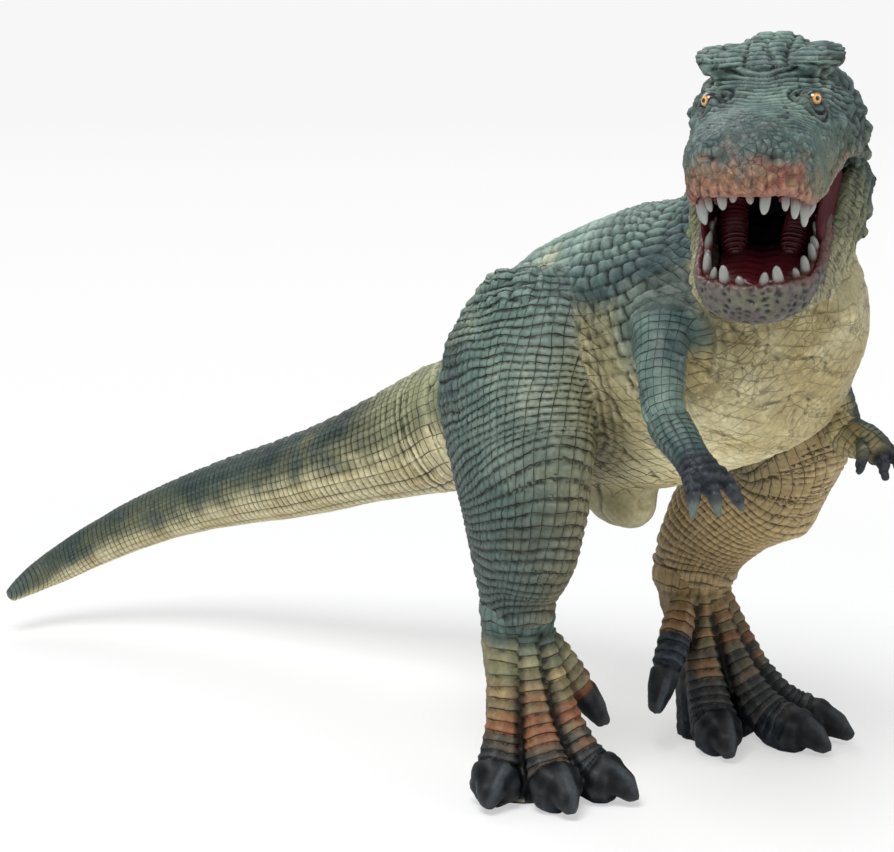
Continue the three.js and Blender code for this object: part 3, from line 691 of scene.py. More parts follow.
def tail_plates(places, along, turn):
    """Rings get closer towards the tip of the tail, and cells get wider under it"""
    wave = layered(places, 18, 5)
    rows = along / 2.4 + (along / 100) ** 2 * 8 + wave * 0.35 + np.cos(turn) * 0.8
    return rows, (turn + 0.72 * np.sin(turn)) / TURN * TAIL_AROUND + wave * 0.2


def tail_paint(places, along, turn):
    blotch = layered(places, 26, 41)
    edge = layered(places, 6, 43)
    dip = np.cos(turn) + edge * 0.25 + blotch * 0.15 + ramp(along, 50, 90) * 0.2
    olive = mixed(OLIVE, TEAL, ramp(blotch + edge * 0.4, -0.3, 0.4) * 0.8)
    at_root = ramp(34 - along + edge * 8, 0, 22)
    bands = hump(along, 38, 8) + hump(along, 66, 10) * 0.9 + hump(along, 98, 9) * 0.5
    bands += hump(along, 138, 16) * 0.6
    dark = np.clip(bands * ramp(dip, -0.15, 0.5) * (0.8 + edge * 0.6), 0, 1)
    return coats(
        CREAM,
        (WARM_CREAM, ramp(edge, -0.3, 0.5) * 0.7),
        (OLIVE * 0.9, ramp(dip, -0.45, 0.15) * 0.7),
        (olive * 0.62, ramp(dip, -0.25, 0.35)),
        (OLIVE * 1.5, ramp(dip, -0.1, 0.6) * at_root * 0.7),
        (DEEP_TEAL * 0.5, dark * 0.85),
        (DEEP_TEAL * 0.8, ramp(dip, 0.4, 1) * 0.55 * ramp(along, 20, 45)),
        (WARM_CREAM, ramp(along, 168, 182) * 0.5),
    )


def make_body():
    body = skin_of(
        "body_skin",
        FIGURE,
        ("torso_shell", "right_leg", "left_leg"),
        BODY_GRAIN,
        even=6,
        fillers=("right_hip_plug", "left_hip_plug", "tail_plug", "neck_plug"),
    )
    places = places_of(body)
    gaps = [gap_to(places, node) for node in ("right_leg", "left_leg", "torso_shell")]
    seam = hump(np.minimum(gaps[0], gaps[1]) - gaps[2], 0, 7) * ramp(places[:, 2], 94, 106)
    softened(body, steps=45, where=seam)
    for name, gap in zip(GAPS, gaps):
        value_on(body, name, gap)
    applied(body, "SUBSURF", levels=1, render_levels=1)
    places = places_of(body)
    right_gap, left_gap, trunk_gap = (value_off(body, name) for name in GAPS)
    right = ramp(trunk_gap - right_gap, -1.2, 1.2)
    left = ramp(trunk_gap - left_gap, -1.2, 1.2)
    leg = np.maximum(right, left)
    is_right = right_gap < left_gap
    along, turn, _ = trunk.read(places)
    right_along, right_turn, _ = right_leg.read(places)
    left_along, left_turn, _ = left_leg.read(places)
    right_arm_along, right_arm_turn, right_arm_off = right_arm.read(places)
    left_arm_along, left_arm_turn, left_arm_off = left_arm.read(places)
    edge = layered(places, 8, 31)
    on_right_arm = ramp(10.5 - right_arm_off + edge * 3, -3.5, 2) * ramp(right_arm_along, 2, 10)
    on_left_arm = ramp(10.5 - left_arm_off + edge * 3, -3.5, 2) * ramp(left_arm_along, 2, 10)
    arm = np.maximum(on_right_arm, on_left_arm)
    leg_along = np.where(is_right, right_along, left_along)
    leg_turn = np.where(is_right, right_turn, left_turn)
    arm_along = np.where(on_right_arm > on_left_arm, right_arm_along, left_arm_along)
    arm_turn = np.where(on_right_arm > on_left_arm, right_arm_turn, left_arm_turn)
    wave = layered(places, 22, 3)
    fine = layered(places, 6, 8)
    dip = np.cos(turn)
    # Rows and cells of plates: on the legs, the arms and the trunk
    on_leg = leg > 0.5
    on_arm = (arm > 0.5) & ~on_leg
    leg_rows = leg_along / 2.15 + wave * 1.3 + np.cos(leg_turn) * 1.2 + fine * 0.2
    leg_cells = leg_turn / TURN * LEG_AROUND + wave * 0.9 + leg_along * 0.05
    trunk_rows = along / 2.5 + wave * 1.6 + dip * 5 + fine * 0.3
    trunk_cells = turn / TURN * TRUNK_AROUND + wave * 1.4 + along * 0.06
    arm_rows = arm_along / 2 + wave
    arm_cells = arm_turn / TURN * ARM_AROUND
    tail_along, tail_turn, _ = tail.read(places)
    tail_rows, tail_cells = tail_plates(places, tail_along, tail_turn)
    regions = [on_leg, on_arm, along < 27 + edge * 3]
    rows = np.select(regions, [leg_rows, arm_rows, tail_rows], trunk_rows)
    cells = np.select(regions, [leg_cells, arm_cells, tail_cells], trunk_cells)
    around = np.select(regions, [LEG_AROUND, ARM_AROUND, TAIL_AROUND], TRUNK_AROUND).astype(float)
    belly = ramp(-dip, -0.15, 0.45) * (1 - leg)
    chest = ramp(along, 88, 112) * ramp(-dip, -0.3, 0.2) * (1 - leg) * (1 - arm)
    smooth_chest = hump(along, 96, 12) * ramp(-dip, 0.45, 0.85) * (1 - leg)
    groove_across = off_middle(rows)
    groove_along = off_middle(cells)
    height = (1 - groove_across**3) * (1 - 0.45 * groove_along**6)
    relief = (height - 0.6) * (0.34 - 0.26 * belly + 0.34 * leg)
    # Bands of blocky scutes run along the back, the shoulder and the side of the neck
    banded = ramp(dip + wave * 0.15, 0.42, 0.62) * ramp(along, 22, 34) * (1 - leg)
    neck_side = ramp(along, 96, 112) * ramp(dip + wave * 0.2, -0.5, -0.2) * (1 - leg) * (1 - arm)
    banded = np.maximum(banded, neck_side * ramp(126 - along, -6, 10))
    band_height = plates(along / 5.4 + wave, turn / TURN * 50 + wave * 0.7 + along * 0.02, 0.5)
    relief = relief * (1 - banded) + (band_height - 0.45) * 0.95 * banded
    hip = ramp(dip, 0.3, 0.6) * ramp(62 - along, 0, 15) + leg * ramp(places[:, 2], 112, 120)
    bumps = 1 - ramp(0.42 - pebbles(places, 6, 81)[0], 0, 0.42)
    relief += (bumps - 0.4) * 1.1 * np.clip(hip, 0, 1)
    relief += wave * 0.5 + fine * 0.2
    slant = np.sin((along * 0.75 + turn * 21) / 1.1 + wave * 3)
    flank = hump(dip, 0, 0.6) * hump(along, 78, 26) * (1 - leg)
    relief += slant * (0.13 + 0.1 * flank) * (1 - banded) * (1 - leg) * (1 - smooth_chest)
    # Domed plates high on the back of the thigh, folds where it meets the flank
    rear = ramp(-np.cos(leg_turn), -0.3, 0.5) * ramp(62 - leg_along, 0, 30) * leg
    domes = plates(leg_cells * 0.8, leg_rows * 0.75, 0.5)
    relief += (domes - 0.5) * 0.55 * rear
    near_leg = np.minimum(right_gap, left_gap)
    skirt = ramp(near_leg, 0.6, 2) * ramp(10 - near_leg, 0, 5) * ramp(-dip, -0.75, -0.2)
    folds = np.sin(near_leg * 2.9 + wave * 6) * skirt * (1 - leg)
    relief += folds * 0.2
    armpit = np.minimum(right_arm_off, left_arm_off)
    ruffle = np.sin(armpit * 2.2 + wave * 5) * ramp(armpit, 9, 11) * ramp(19 - armpit, 0, 6)
    relief += ruffle * 0.18 * ramp(dip, -0.8, -0.3) * (1 - leg)
    # Fine wrinkles run down the chest, with patches of cells between them
    stretched = places * [1, 1, 0.35]
    wrinkles = hump(layered(stretched, 7, 91), 0, 0.07)
    wrinkles += hump(layered(stretched, 4, 97), 0, 0.06) * 0.7
    relief -= wrinkles * 0.24 * np.maximum(chest * (1 - smooth_chest), neck_side * 0.6)
    patches = ramp(layered(places, 14, 95), -0.25, 0.2)
    # Creases across the belly
    crease = off_middle(along / 7.5 + wave * 1.2)
    relief -= ramp(crease, 0.75, 1) * 0.55 * belly * (1 - 0.4 * chest)
    raised(body, places, relief)
    for ankle in (RIGHT_ANKLE, LEFT_ANKLE):
        cuffed(body, ankle, DOWN, 1.5, within=ANKLE_WITHIN)
    cuffed(body, TAIL_SEAT, TAIL_WAY, 1.4, within=TAIL_WITHIN)
    cells_on(body, cells, rows, around)
    # Paint
    blotch = layered(places, 30, 21)
    teal = mixed(TEAL, DEEP_TEAL, ramp(blotch + edge * 0.6, -0.15, 0.55))
    teal = mixed(teal, PALE_TEAL, ramp(edge - blotch, 0.1, 0.9) * 0.7)
    cream = mixed(CREAM, WARM_CREAM, ramp(blotch + edge * 0.5, -0.3, 0.5))
    cream = mixed(cream, OLIVE, ramp(-edge - blotch, 0.25, 0.9) * 0.4)
    high = dip + edge * 0.22 + blotch * 0.2
    mantle = hump(along, 115, 10) * ramp(dip, -0.7, -0.1)
    from_shoulder = np.linalg.norm(places - np.array(RIGHT_SHOULDER), axis=1)
    mantle = np.maximum(mantle, ramp(14 - from_shoulder + edge * 4, -2, 4)) * 0.9
    on_back = np.maximum(ramp(high - 0.32 * hump(along, 76, 20), 0.12, 0.6), mantle)
    at_tail = ramp(36 - along + edge * 7, 0, 18)
    beside_leg = hump(near_leg, 0, 8) * ramp(46 - along, 0, 15) * ramp(dip, -0.8, -0.2)
    under = ramp(-dip, 0.3, 1) * (1 - ramp(along, 70, 90))
    trunk_colour = coats(
        cream,
        (OLIVE, hump(dip, 0.2, 0.4) * 0.55),
        (teal, on_back),
        (tail_paint(places, tail_along, tail_turn), at_tail),
        (DEEP_TEAL, beside_leg * 0.75),
        (OLIVE * 0.8, under * 0.45),
    )
    bright = ramp(-dip, 0.3, 0.8) * hump(along, 100, 16) * 0.62
    bright += ramp(dip, -0.6, -0.1) * ramp(106 - along, 0, 14) * ramp(along, 25, 45) * 0.52
    trunk_colour = trunk_colour * (1 + bright)[:, None]
    inner_arm = ramp(np.sin(right_arm_turn) + edge * 0.4, 0.35, 0.85)
    arm_colour = mixed(teal * 1.2, WARM_CREAM * 0.95, inner_arm)
    # Painted shade in the hollow of the flank next to the thigh
    hollow = hump(near_leg, 5, 13) * hump(along, 92, 20) * hump(dip + wave * 0.2, -0.75, 0.4)
    outer_arm = ramp(np.sin(left_arm_turn) + edge * 0.4, -0.2, 0.6)
    trunk_colour = coats(
        trunk_colour,
        (arm_colour, on_right_arm * 0.95),
        (OLIVE * 0.5, hollow * 0.6 * (1 - arm)),
        (mixed(cream, teal, outer_arm), on_left_arm),
    )
    seam_shade = skirt * (1 - leg) * 0.35
    trunk_colour = trunk_colour * (1 - seam_shade)[:, None]
    right_front = hump(right_turn + edge * 0.25, 0.7, 0.9) * ramp(right_along, 6, 26) * 0.85
    edge_of_thigh = ramp(8 - trunk_gap, 0, 7) * ramp(np.sin(right_turn), 0.1, 0.6)
    right_colour = coats(
        teal,
        (OLIVE, ramp(edge, 0.0, 0.8) * 0.35),
        (mixed(OLIVE, WARM_CREAM, 0.5), right_front),
        (OLIVE * 0.9, edge_of_thigh * 0.7),
    )
    right_colour = right_colour * (1 - 0.38 * ramp(right_along, 20, 65))[:, None]
    outer = ramp(-left_turn, 0.3, 1.4)
    behind = np.maximum(ramp(left_turn + edge * 0.3, 1.15, 1.9), ramp(-left_turn, 2.2, 2.8))
    left_colour = coats(
        cream,
        (TAN, ramp(left_along, 15, 55)),
        (DEEP_TEAL, outer * (1 - ramp(left_along, 40, 66)) * 0.8),
        (teal, behind * (1 - ramp(left_along, 60, 80))),
        (BROWN, ramp(left_along + edge * 6, 62, 84) * 0.35),
    )
    left_colour = left_colour * (0.94 + 0.36 * hump(left_along, 71, 15))[:, None]
    leg_colour = mixed(left_colour, right_colour, is_right.astype(float))
    colour = mixed(trunk_colour, leg_colour, leg)
    hanging = ramp(FLAP_TOP - places[:, 2], 0, 5)
    flap = ramp(-dip, 0.2, 0.6) * np.maximum(ramp(74 - along, 0, 10), hanging)
    trunk_plates = (1 - 0.5 * chest) * (1 - 0.9 * banded) * (1 - flap)
    coated(
        body,
        wash_and_painted_light(body, colour, 5, 0.35, 0.85, 0.75),
        plate=np.where(on_leg | on_arm, 1, trunk_plates),
        crack=chest * (1 - smooth_chest) * (0.1 + 0.4 * patches) + rear * 0.2,
    )
    applied(body, "DECIMATE", ratio=BODY_KEPT)
    wear(body, hide_paint("body_hide", line=0.07, crack=2.8))


def make_tail():
    piece = skin_of("tail_skin", TAIL, ("tail",), TAIL_GRAIN, even=5, fillers=("tail_plug",))
    places = places_of(piece)
    along, turn, off = tail.read(places)
    rows, cells = tail_plates(places, along, turn)
    wave = layered(places, 18, 5)
    fine = layered(places, 5, 6)
    height = plates(cells, rows)
    taper = np.clip(off / 14, 0.25, 1)
    relief = (height - 0.6) * 0.34 * taper + wave * 0.35 * taper + fine * 0.1
    keel = ramp(np.cos(turn), 0.75, 1) * ramp(140 - along, 0, 70)
    relief += (plates(turn / TURN * 14, rows / 1.7, 0.5) - 0.3) * 0.6 * keel
    root = ramp(along, 4, 10)
    collar = np.sin(along * 1.9 + wave) * hump(along, 12, 6) * 0.3
    raised(piece, places, (relief + collar) * root)
    cuffed(piece, TAIL_SEAT, -np.array(TAIL_WAY), 1.2)
    cells_on(piece, cells, rows, TAIL_AROUND)
    colour = tail_paint(places, along, turn)
    coated(piece, wash_and_painted_light(piece, colour, 4, 0.22, 0.75, 0.6), plate=1, crack=0)
    wear(piece, hide_paint("tail_hide", line=0.085))


# Feet and forearms

RIGHT_TIPS = [(13.5, -26.4), (-3.6, -25.8), (-17.1, -12.6)]
LEFT_TIPS = [(-10.8, -27.6), (12, -36.6), (23.4, -32.4)]
RIGHT_BACK_TIP = (22.2, -4.2)
LEFT_BACK_TIP = (-24, -15)
# From the ankle to a tip: a share of the way out, and a share of the ankle's height
TOE_WAYS = [(0, 0.95), (0.16, 0.62), (0.36, 0.36), (0.58, 0.19), (0.8, 0.14), (1.06, 0.05)]
BACK_TOE_WAYS = [(0.1, 0.85), (0.45, 0.66), (0.8, 0.44), (1, 0.3)]
TOE_START = 0.12
ANKLE_AROUND = 24
FAR_OFF = 99
WRIST = 0.5
PALM_WAY = np.array((-0.6, -0.75, -0.1))
FOREARM_AROUND = 14


def toe_spine(ankle, tip, ways):
    places = []
    for way, height in ways:
        out = TOE_START + (1 - TOE_START) * way
        places.append((ankle[0] + tip[0] * out, ankle[1] + tip[1] * out, ankle[2] * height))
    return Spine(places, (0, -1, 1))


def make_foot(label, ankle, tips, back_tip, levels, top_colour, swell):
    """A foot. levels are the heights of the rust, of the dark, and of the back toe's dark."""
    rust_at, dark_at, back_at = levels
    name = label + "_foot_skin"
    piece = skin_of(name, FIGURE, (label + "_foot",), FOOT_GRAIN, even=4)
    places = places_of(piece)
    spines = [toe_spine(ankle, tip, TOE_WAYS) for tip in tips]
    spines.append(toe_spine(ankle, back_tip, BACK_TOE_WAYS))
    along, turn, off = (np.stack(part) for part in zip(*[s.read(places) for s in spines]))
    lengths = np.array([spine.reach[-1] for spine in spines])
    inside = (along > -3) & (along < lengths[:, None] + 6)
    seen = np.where(inside, off, FAR_OFF)
    nearest = seen.argmin(0)
    pick = np.arange(len(places))
    near_along, near_turn = along[nearest, pick], turn[nearest, pick]
    ranked = np.sort(seen, axis=0)
    between = hump(ranked[1] - ranked[0], 0, 1.5) * ramp(places[:, 2], 4, 10)
    wave = layered(places, 9, 51)
    fine = layered(places, 2.6, 53)
    low = places[:, 2]
    reach = lengths[nearest]
    rows = near_along / 3.1 + (near_along / 50) ** 2 * 2.5 + wave * 0.3 + nearest * 0.37
    shin = ramp(low - ankle[2] + wave, -5, -3.5)
    ankle_rows = (ankle[2] - low) / 2.15 + wave * 0.8
    ankle_turn = np.arctan2(places[:, 0] - ankle[0], places[:, 1] - ankle[1])
    ankle_cells = ankle_turn / TURN * ANKLE_AROUND + wave
    rows = np.where(shin > 0.5, ankle_rows, rows)
    cells = np.where(shin > 0.5, ankle_cells, 0.5)
    column = ramp(np.cos(near_turn), -0.75, -0.1)
    claw = ramp(near_along - reach, -11.5, -10.3) * ramp(np.cos(near_turn), -0.6, -0.2)
    phase = rows % 1
    scute = np.minimum(phase / 0.75, (1 - phase) / 0.25) ** 0.6
    relief = (scute - 0.6) * 0.68 * column * (1 - claw) * (1 - shin)
    relief += (plates(ankle_cells, ankle_rows) - 0.5) * 0.35 * shin
    relief += (pebbles(places, 2.3, 5)[0] - 0.3) * 0.4 * (1 - column) * (1 - claw)
    relief += wave * 0.25 + fine * 0.14 * (1 - claw) - between * 1.1
    spur = hump(near_turn, 0, 0.35) * ramp(near_along - reach, -10, -6)
    cuticle = hump(near_along - reach, -11.3, 0.8)
    relief += claw * (0.25 + spur * 0.55) - cuticle * 0.5
    floor = ramp(low, 0.3, 2.0)
    top = ramp(ankle[2] - low, -0.5, 1)
    raised(piece, places, relief * floor * top)
    settled = places_of(piece)
    settled[:, 2] = np.maximum(settled[:, 2], 0)
    settled[:, 0] = np.clip(settled[:, 0], solid_box[0][0] / MM, solid_box[1][0] / MM)
    set_places(piece, settled)
    cuffed(piece, ankle, UP, 2, swell)
    cells_on(piece, cells, rows, np.where(shin > 0.5, ANKLE_AROUND, NO_WRAP))
    blotch = layered(places, 14, 61)
    edge = layered(places, 5, 63)
    tone = hashed(np.stack([np.floor(rows), nearest], -1).astype(np.int64), 9)
    level = low + blotch * 6 + edge * 3 + (tone - 0.5) * 7
    rust = hump(level, rust_at, 6) * ramp(tone + edge * 0.4, 0.3, 0.55)
    rust = np.maximum(rust, hump(level, dark_at + 5, 3.5) * ramp(tone + edge * 0.4, 0.45, 0.65))
    colour = coats(
        OLIVE * 0.85,
        (TAN * 0.75, ramp(edge + blotch + tone - 0.5, -0.3, 0.4) * 0.7),
        (BROWN * 1.1, ramp(rust_at + 6 - level, -4, 4) * 0.5),
        (RUST * 0.95, rust * 0.8),
        (NAVY * 0.9, ramp(dark_at - level, -4, 4) * 0.88),
        (NAVY * 0.8, ramp(11 - level, -4, 4)),
        (NAVY, (nearest == len(tips)) * ramp(back_at - level, -2, 2)),
    )
    colour = colour * (0.82 + 0.36 * tone)[:, None]
    # Claws: near black, with a painted sheen along each ridge and in flecks
    nail = mixed(INK * 0.6, SHEEN * 0.45, spur * 0.4 + ramp(fine, 0.1, 0.8) * 0.15)
    rim = hump(low, 1.1, 0.4) * claw
    colour = coats(
        colour,
        (top_colour, ramp(low - ankle[2] + edge * 3, -12, -3)),
        # Painted shade in the clefts between the toes, low on the foot
        (INK, between * 0.8 * ramp(ankle[2] - 12 - low, -6, 10)),
        (nail, claw),
        (CREAM, rim * 0.55),
    )
    coated(
        piece,
        wash_and_painted_light(piece, colour, 5, 0.4, 0.9, 0.55),
        plate=np.maximum(column * (1 - claw), shin),
        crack=(1 - column) * (1 - claw) * (1 - shin) * 0.4,
    )
    wear(piece, hide_paint(name + "_hide", 0.5, crack=2.4, shine=0.2))


def make_forearm(label, seat, axis, pale):
    """A forearm and its hand. pale says how much the palm shows."""
    name = label + "_forearm_skin"
    piece = skin_of(
        name,
        label + "_forearm_body",
        (label + "_forearm",),
        FOREARM_GRAIN,
        even=4,
        fillers=(label + "_elbow_plug",),
    )
    places = places_of(piece)
    normals = normals_of(piece)
    ridge, _ = pebbles(places, 1.7, 71)
    wave = layered(places, 6, 73)
    down = Vector(axis)
    side = down.cross(Vector(UP)).normalized()
    off = places - np.array(seat)
    along = -(off @ np.array(down))
    turn = np.arctan2(off @ np.array(side), off @ np.array(down.cross(side)))
    wrist = along.max() * WRIST
    hand = ramp(along + wave * 2, wrist - 3, wrist + 2)
    tip = ramp(along / along.max(), 0.86, 0.94)
    ring_rows = along / 1.5 + wave * 0.8
    ring_cells = turn / TURN * FOREARM_AROUND + wave * 0.5
    rings = (plates(ring_cells, ring_rows) - 0.5) * 0.3 * (1 - hand)
    knuckles = np.sin(along * TURN / 2 + wave) * 0.12 * hand * (1 - tip)
    swell = 0.35 * hand * (1 - 0.6 * tip)
    relief = rings + knuckles + swell + (ridge - 0.3) * 0.28 * hand * (1 - tip) + wave * 0.15
    set_places(piece, places + normals * (relief * ramp(along, 0.5, 3))[:, None])
    cuffed(piece, seat, axis, 0.9)
    cells_on(piece, ring_cells, ring_rows, FOREARM_AROUND)
    palm = ramp(normals @ PALM_WAY + wave * 0.2, 0.1, 0.6)
    colour = coats(
        TEAL * 0.85,
        (DEEP_TEAL, ramp(along + wave * 3, 3, wrist)),
        (WARM_CREAM * 0.9, palm * pale),
        (NAVY * 0.6, hand),
        (PALE_TEAL * 0.45, tip * 0.7),
    )
    coated(
        piece,
        wash_and_painted_light(piece, colour, 4, 0.2, 0.8, 0.5),
        plate=(1 - hand) * 0.9,
        crack=0.5 * hand * (1 - tip),
    )
    wear(piece, hide_paint(name + "_hide", 0.52, crack=1.8))


make_body()
make_tail()
make_foot("right", RIGHT_ANKLE, RIGHT_TIPS, RIGHT_BACK_TIP, (22, 17, 14), TEAL * 0.7, 0.7)
make_foot("left", LEFT_ANKLE, LEFT_TIPS, LEFT_BACK_TIP, (38, 22, 29), mixed(TAN, BROWN, 0.5), 1)
make_forearm("right", RIGHT_ARM_LINE[-1], RIGHT_FOREARM_WAY, 0)
make_forearm("left", LEFT_ARM_LINE[-1], LEFT_FOREARM_WAY, 0.85)


# Head

EYE_PLACE = np.array([10.9, -26.9, 13.8])
EYE_GAZE = np.array([0.62, -0.76, 0.2])
EYE_RADIUS = 1.85
CROWN_TOP = 181.8
BROW_PLACE = np.array([9.3, -29.6, 13.4])
EAR_PLACE = np.array([12.8, -18, 16.8])
NOSTRIL_PLACE = np.array([6.2, -53.4, 6.4])
LIP_LINE = [
    (-59, -0.6), (-51, -1.9), (-45, -4.8), (-38, -6.4), (-32, -5.4), (-26, -2.9), (-16, -0.6)
]
JAW_LIP_LINE = [(-57, -5.2), (-52, -5.7), (-45, -7.3), (-37, -6.8), (-29, -4.2), (-15.6, -3.1)]
# Down each side of the head from behind the eye to the corner of the jaw
KNOBS = [(-19, 8, 1.6), (-12, 11, 2), (-5, 8, 2.2), (-1, 2.5, 1.9), (2, -3, 1.8), (3, -8, 1.6)]
# Rings round the eye: a radius and a height
EYE_RINGS = ((2.6, 0.55), (3.5, -0.5), (4.3, 0.45), (5.2, -0.35), (6, 0.25))
# The box that the mouth's walls lie in: half its width, and where it starts and ends
MOUTH_HALF, MOUTH_FRONT, MOUTH_BACK = 15.5, -56, -6
HEAD_MOUTH_MIDDLE, JAW_MOUTH_MIDDLE = np.array([0, -32, -4]), np.array([0, -27, -3])


def heights(line, y):
    spots, levels = np.array(line).T
    return np.interp(y, spots, levels)


def side_of_mouth(local, normals, middle):
    """1 on the mouth's own walls, 0 on the outer skin"""
    inward = ((middle - local) * normals).sum(-1)
    x, y, _ = local.T
    box = (np.abs(x) < MOUTH_HALF) & (y > MOUTH_FRONT) & (y < MOUTH_BACK)
    return ((inward > 0) & box).astype(float)


def beads_on(x, y, back, radius, width):
    """A row of beads round the front of a lip"""
    around = np.arctan2(x, -(y + back)) * radius
    return 1 - off_middle(around / width) ** 2.5


def make_head():
    fillers = ("neck_plug", "left_eye", "right_eye")
    piece = skin_of("head_skin", FIGURE, ("head_shell",), HEAD_GRAIN, even=5, fillers=fillers)
    local = into(head_turn, places_of(piece))
    _, y, z = local.T
    under_crest = hump(z, 18, 2.6) * ramp(-y, 14, 22) * ramp(y, -46, -38)
    softened(piece, steps=40, where=under_crest)
    places = places_of(piece)
    local = into(head_turn, places)
    facing = normals_of(piece) @ np.array(head_turn)
    x, y, z = local.T
    side = np.abs(x)
    mirror = np.stack([side, y, z], -1)
    wave = layered(local, 9, 101)
    fine = layered(local, 2.6, 103)
    mouth = side_of_mouth(local, facing, HEAD_MOUTH_MIDDLE) * ramp(9 - z, 0, 2)
    outer = 1 - mouth
    above = ramp(z, 6, 13)
    crown = ramp(z, 18, 21) * ramp(y, -26, -18)
    forehead = above * ramp(-y, 8, 16) * ramp(y, -50, -40) * (1 - crown)
    snout = ramp(-y, 38, 48)
    # Wrinkles run across the crown plates and fan over the forehead
    fan = np.where(side > 1.2, side * 0.42, 0.5)
    rows = (y * 0.8 + z * 0.7 - fan * 1.3 + wave * 1.6) / 1.6
    crown_rows = (z * 1.25 + y * 0.35 + wave * 1.2) / 1.5
    rows = np.where(crown > 0.5, crown_rows, rows)
    cells = x / 13 + wave * 0.6
    ridge = off_middle(rows)
    wrinkle = (0.45 - ridge**2.2) * np.clip(forehead + crown * 0.9, 0, 1)
    relief = wrinkle * 0.75
    big, _ = pebbles(local * [1, 0.8, 1], 6.5, 5)
    relief += (ramp(big, 0, 0.2) - 0.8) * 0.4 * crown
    split = hump(side, 4.4 + wave * 0.8, 0.45) * crown + hump(y, -24 + wave * 2, 0.6) * crown
    relief -= split * 0.55
    # Cheeks: pebbles and sagging folds
    cheek = outer * (1 - above) * (1 - snout)
    grain, _ = pebbles(local, 2.1, 7)
    relief += (grain - 0.3) * 0.45 * cheek
    fold = np.sin((z * 0.8 + y * 0.55 + wave * 3) / 1.15)
    relief += fold * 0.22 * cheek * ramp(y, -40, -20)
    lumps = ramp(pebbles(local, 3.4, 19)[0], 0, 0.5) * ramp(side, 11, 14) * ramp(y, -22, -10)
    relief += (lumps - 0.2) * 0.7 * outer * ramp(18 - z, 0, 4)
    fine_grain, _ = pebbles(local * [1, 1, 0.7], 1.6, 17)
    relief += (ramp(fine_grain, 0, 0.5) - 0.6) * 0.3 * snout * outer
    # Eye sockets, ear holes, nostrils and knobs
    eye = np.linalg.norm(mirror - EYE_PLACE, axis=1)
    for radius, height in EYE_RINGS:
        ring = hump(eye, radius, 0.45)
        relief = relief * (1 - ring * 0.6) + ring * height
    guard = np.linalg.norm((mirror - BROW_PLACE) * [1, 0.7, 0.7], axis=1)
    relief += hump(guard, 0, 1.7) * 2
    ear = np.linalg.norm(mirror - EAR_PLACE, axis=1)
    relief += hump(ear, 2.5, 0.7) * 0.55 - hump(ear, 0, 1.3) * 1.5
    nostril = np.linalg.norm((mirror - NOSTRIL_PLACE) * [1, 0.8, 1.3], axis=1)
    relief -= hump(nostril, 0, 1.2) * 0.7
    for knob_y, knob_z, radius in KNOBS:
        gap = np.hypot(y - knob_y, z - knob_z)
        relief += hump(gap, 0, radius) * 1.3 * ramp(side, 9, 12) * outer
    # Beaded upper lip
    lip = hump(z - heights(LIP_LINE, y), 1.1, 1.5) * outer * ramp(-y, 6, 12)
    beads = beads_on(x, y, 27, 27, 2.3)
    relief += lip * (0.35 + beads * 0.45) + wave * 0.35 * outer + fine * 0.12 * outer
    still = ramp(mouth, 0.2, 0.8)
    above_skin = places + normals_of(piece) * (relief * (1 - still))[:, None]
    above_skin[:, 2] = np.minimum(above_skin[:, 2], CROWN_TOP)
    set_places(piece, above_skin)
    cells_on(piece, cells, rows, NO_WRAP)
    # Paint
    blotch = layered(local, 11, 111)
    edge = layered(local, 3.2, 113)
    speck = layered(local, 1.4, 115)
    teal = mixed(TEAL, PALE_TEAL, ramp(edge + blotch, 0.1, 0.9) * 0.5)
    teal = mixed(teal, DEEP_TEAL, ramp(-edge - blotch * 0.8, 0.05, 0.7) * 0.85)
    low = ramp(4 - z + edge * 3 + blotch * 4, -5, 6)
    on_snout = ramp(-y, 40, 52) * ramp(z + edge * 3, 2, 9)
    ahead = -y + (6 - z) * 1.3 + edge * 7 + blotch * 6 + speck * 4
    tan_at = ramp(ahead, 47, 60) * ramp(9.5 - z, -2, 4)
    rust = ramp(blotch + edge + speck * 0.7, 0.0, 0.7) * tan_at
    red = ramp(3.6 + edge * 3 - (z - heights(LIP_LINE, y)), 0, 4.5) * ramp(-y, 10, 18) * outer
    lids = 1 - ramp(eye, 3.4, 6.2)
    upper = ramp(z, 2, 8) * ramp(-y, 30, 46)
    colour = coats(
        teal,
        (OLIVE * 0.85, low * 0.75),
        (DEEP_TEAL * 0.8, hump(y, -6, 11) * ramp(side, 11, 16) * 0.75),
        (MAUVE * 0.95, on_snout * ramp(edge + blotch + speck * 0.5, -0.5, 0.4) * 0.7),
        (MUZZLE, tan_at * 0.85),
        (LIP * 1.1, rust * 0.75),
        (DEEP_TEAL * 0.5, ramp(speck - edge * 0.5, 0.15, 0.6) * snout * 0.6),
        (LIP, red * (0.75 - beads * 0.35)),
        (DEEP_TEAL * 0.5, lids * 0.75),
        (PALE_TEAL, hump(ear, 2.5, 0.5) * 0.5),
        (INK, hump(ear, 0, 1.6)),
        (DEEP_TEAL * 0.9, upper * ramp(blotch - edge * 0.4, -0.8, 0.3) * 0.75),
        (INK, hump(nostril, 0, 1.1) * 0.85),
    )
    # The mouth's walls in the head: maroon, with painted shade that deepens towards the throat
    shaded_roof = mixed(MAROON, INK * 0.4, ramp(y, -30, -14))
    coated(
        piece,
        mixed(wash_and_painted_light(piece, colour, 5, 0.25, 0.9, 0.75), shaded_roof, mouth),
        plate=np.clip(forehead + crown, 0, 1) * outer * 0.8,
        crack=np.maximum(cheek * 0.55, snout * outer * 0.5),
    )
    wear(piece, hide_paint("head_hide", 0.5, line=0.09, offset=0.5, crack=2.1))


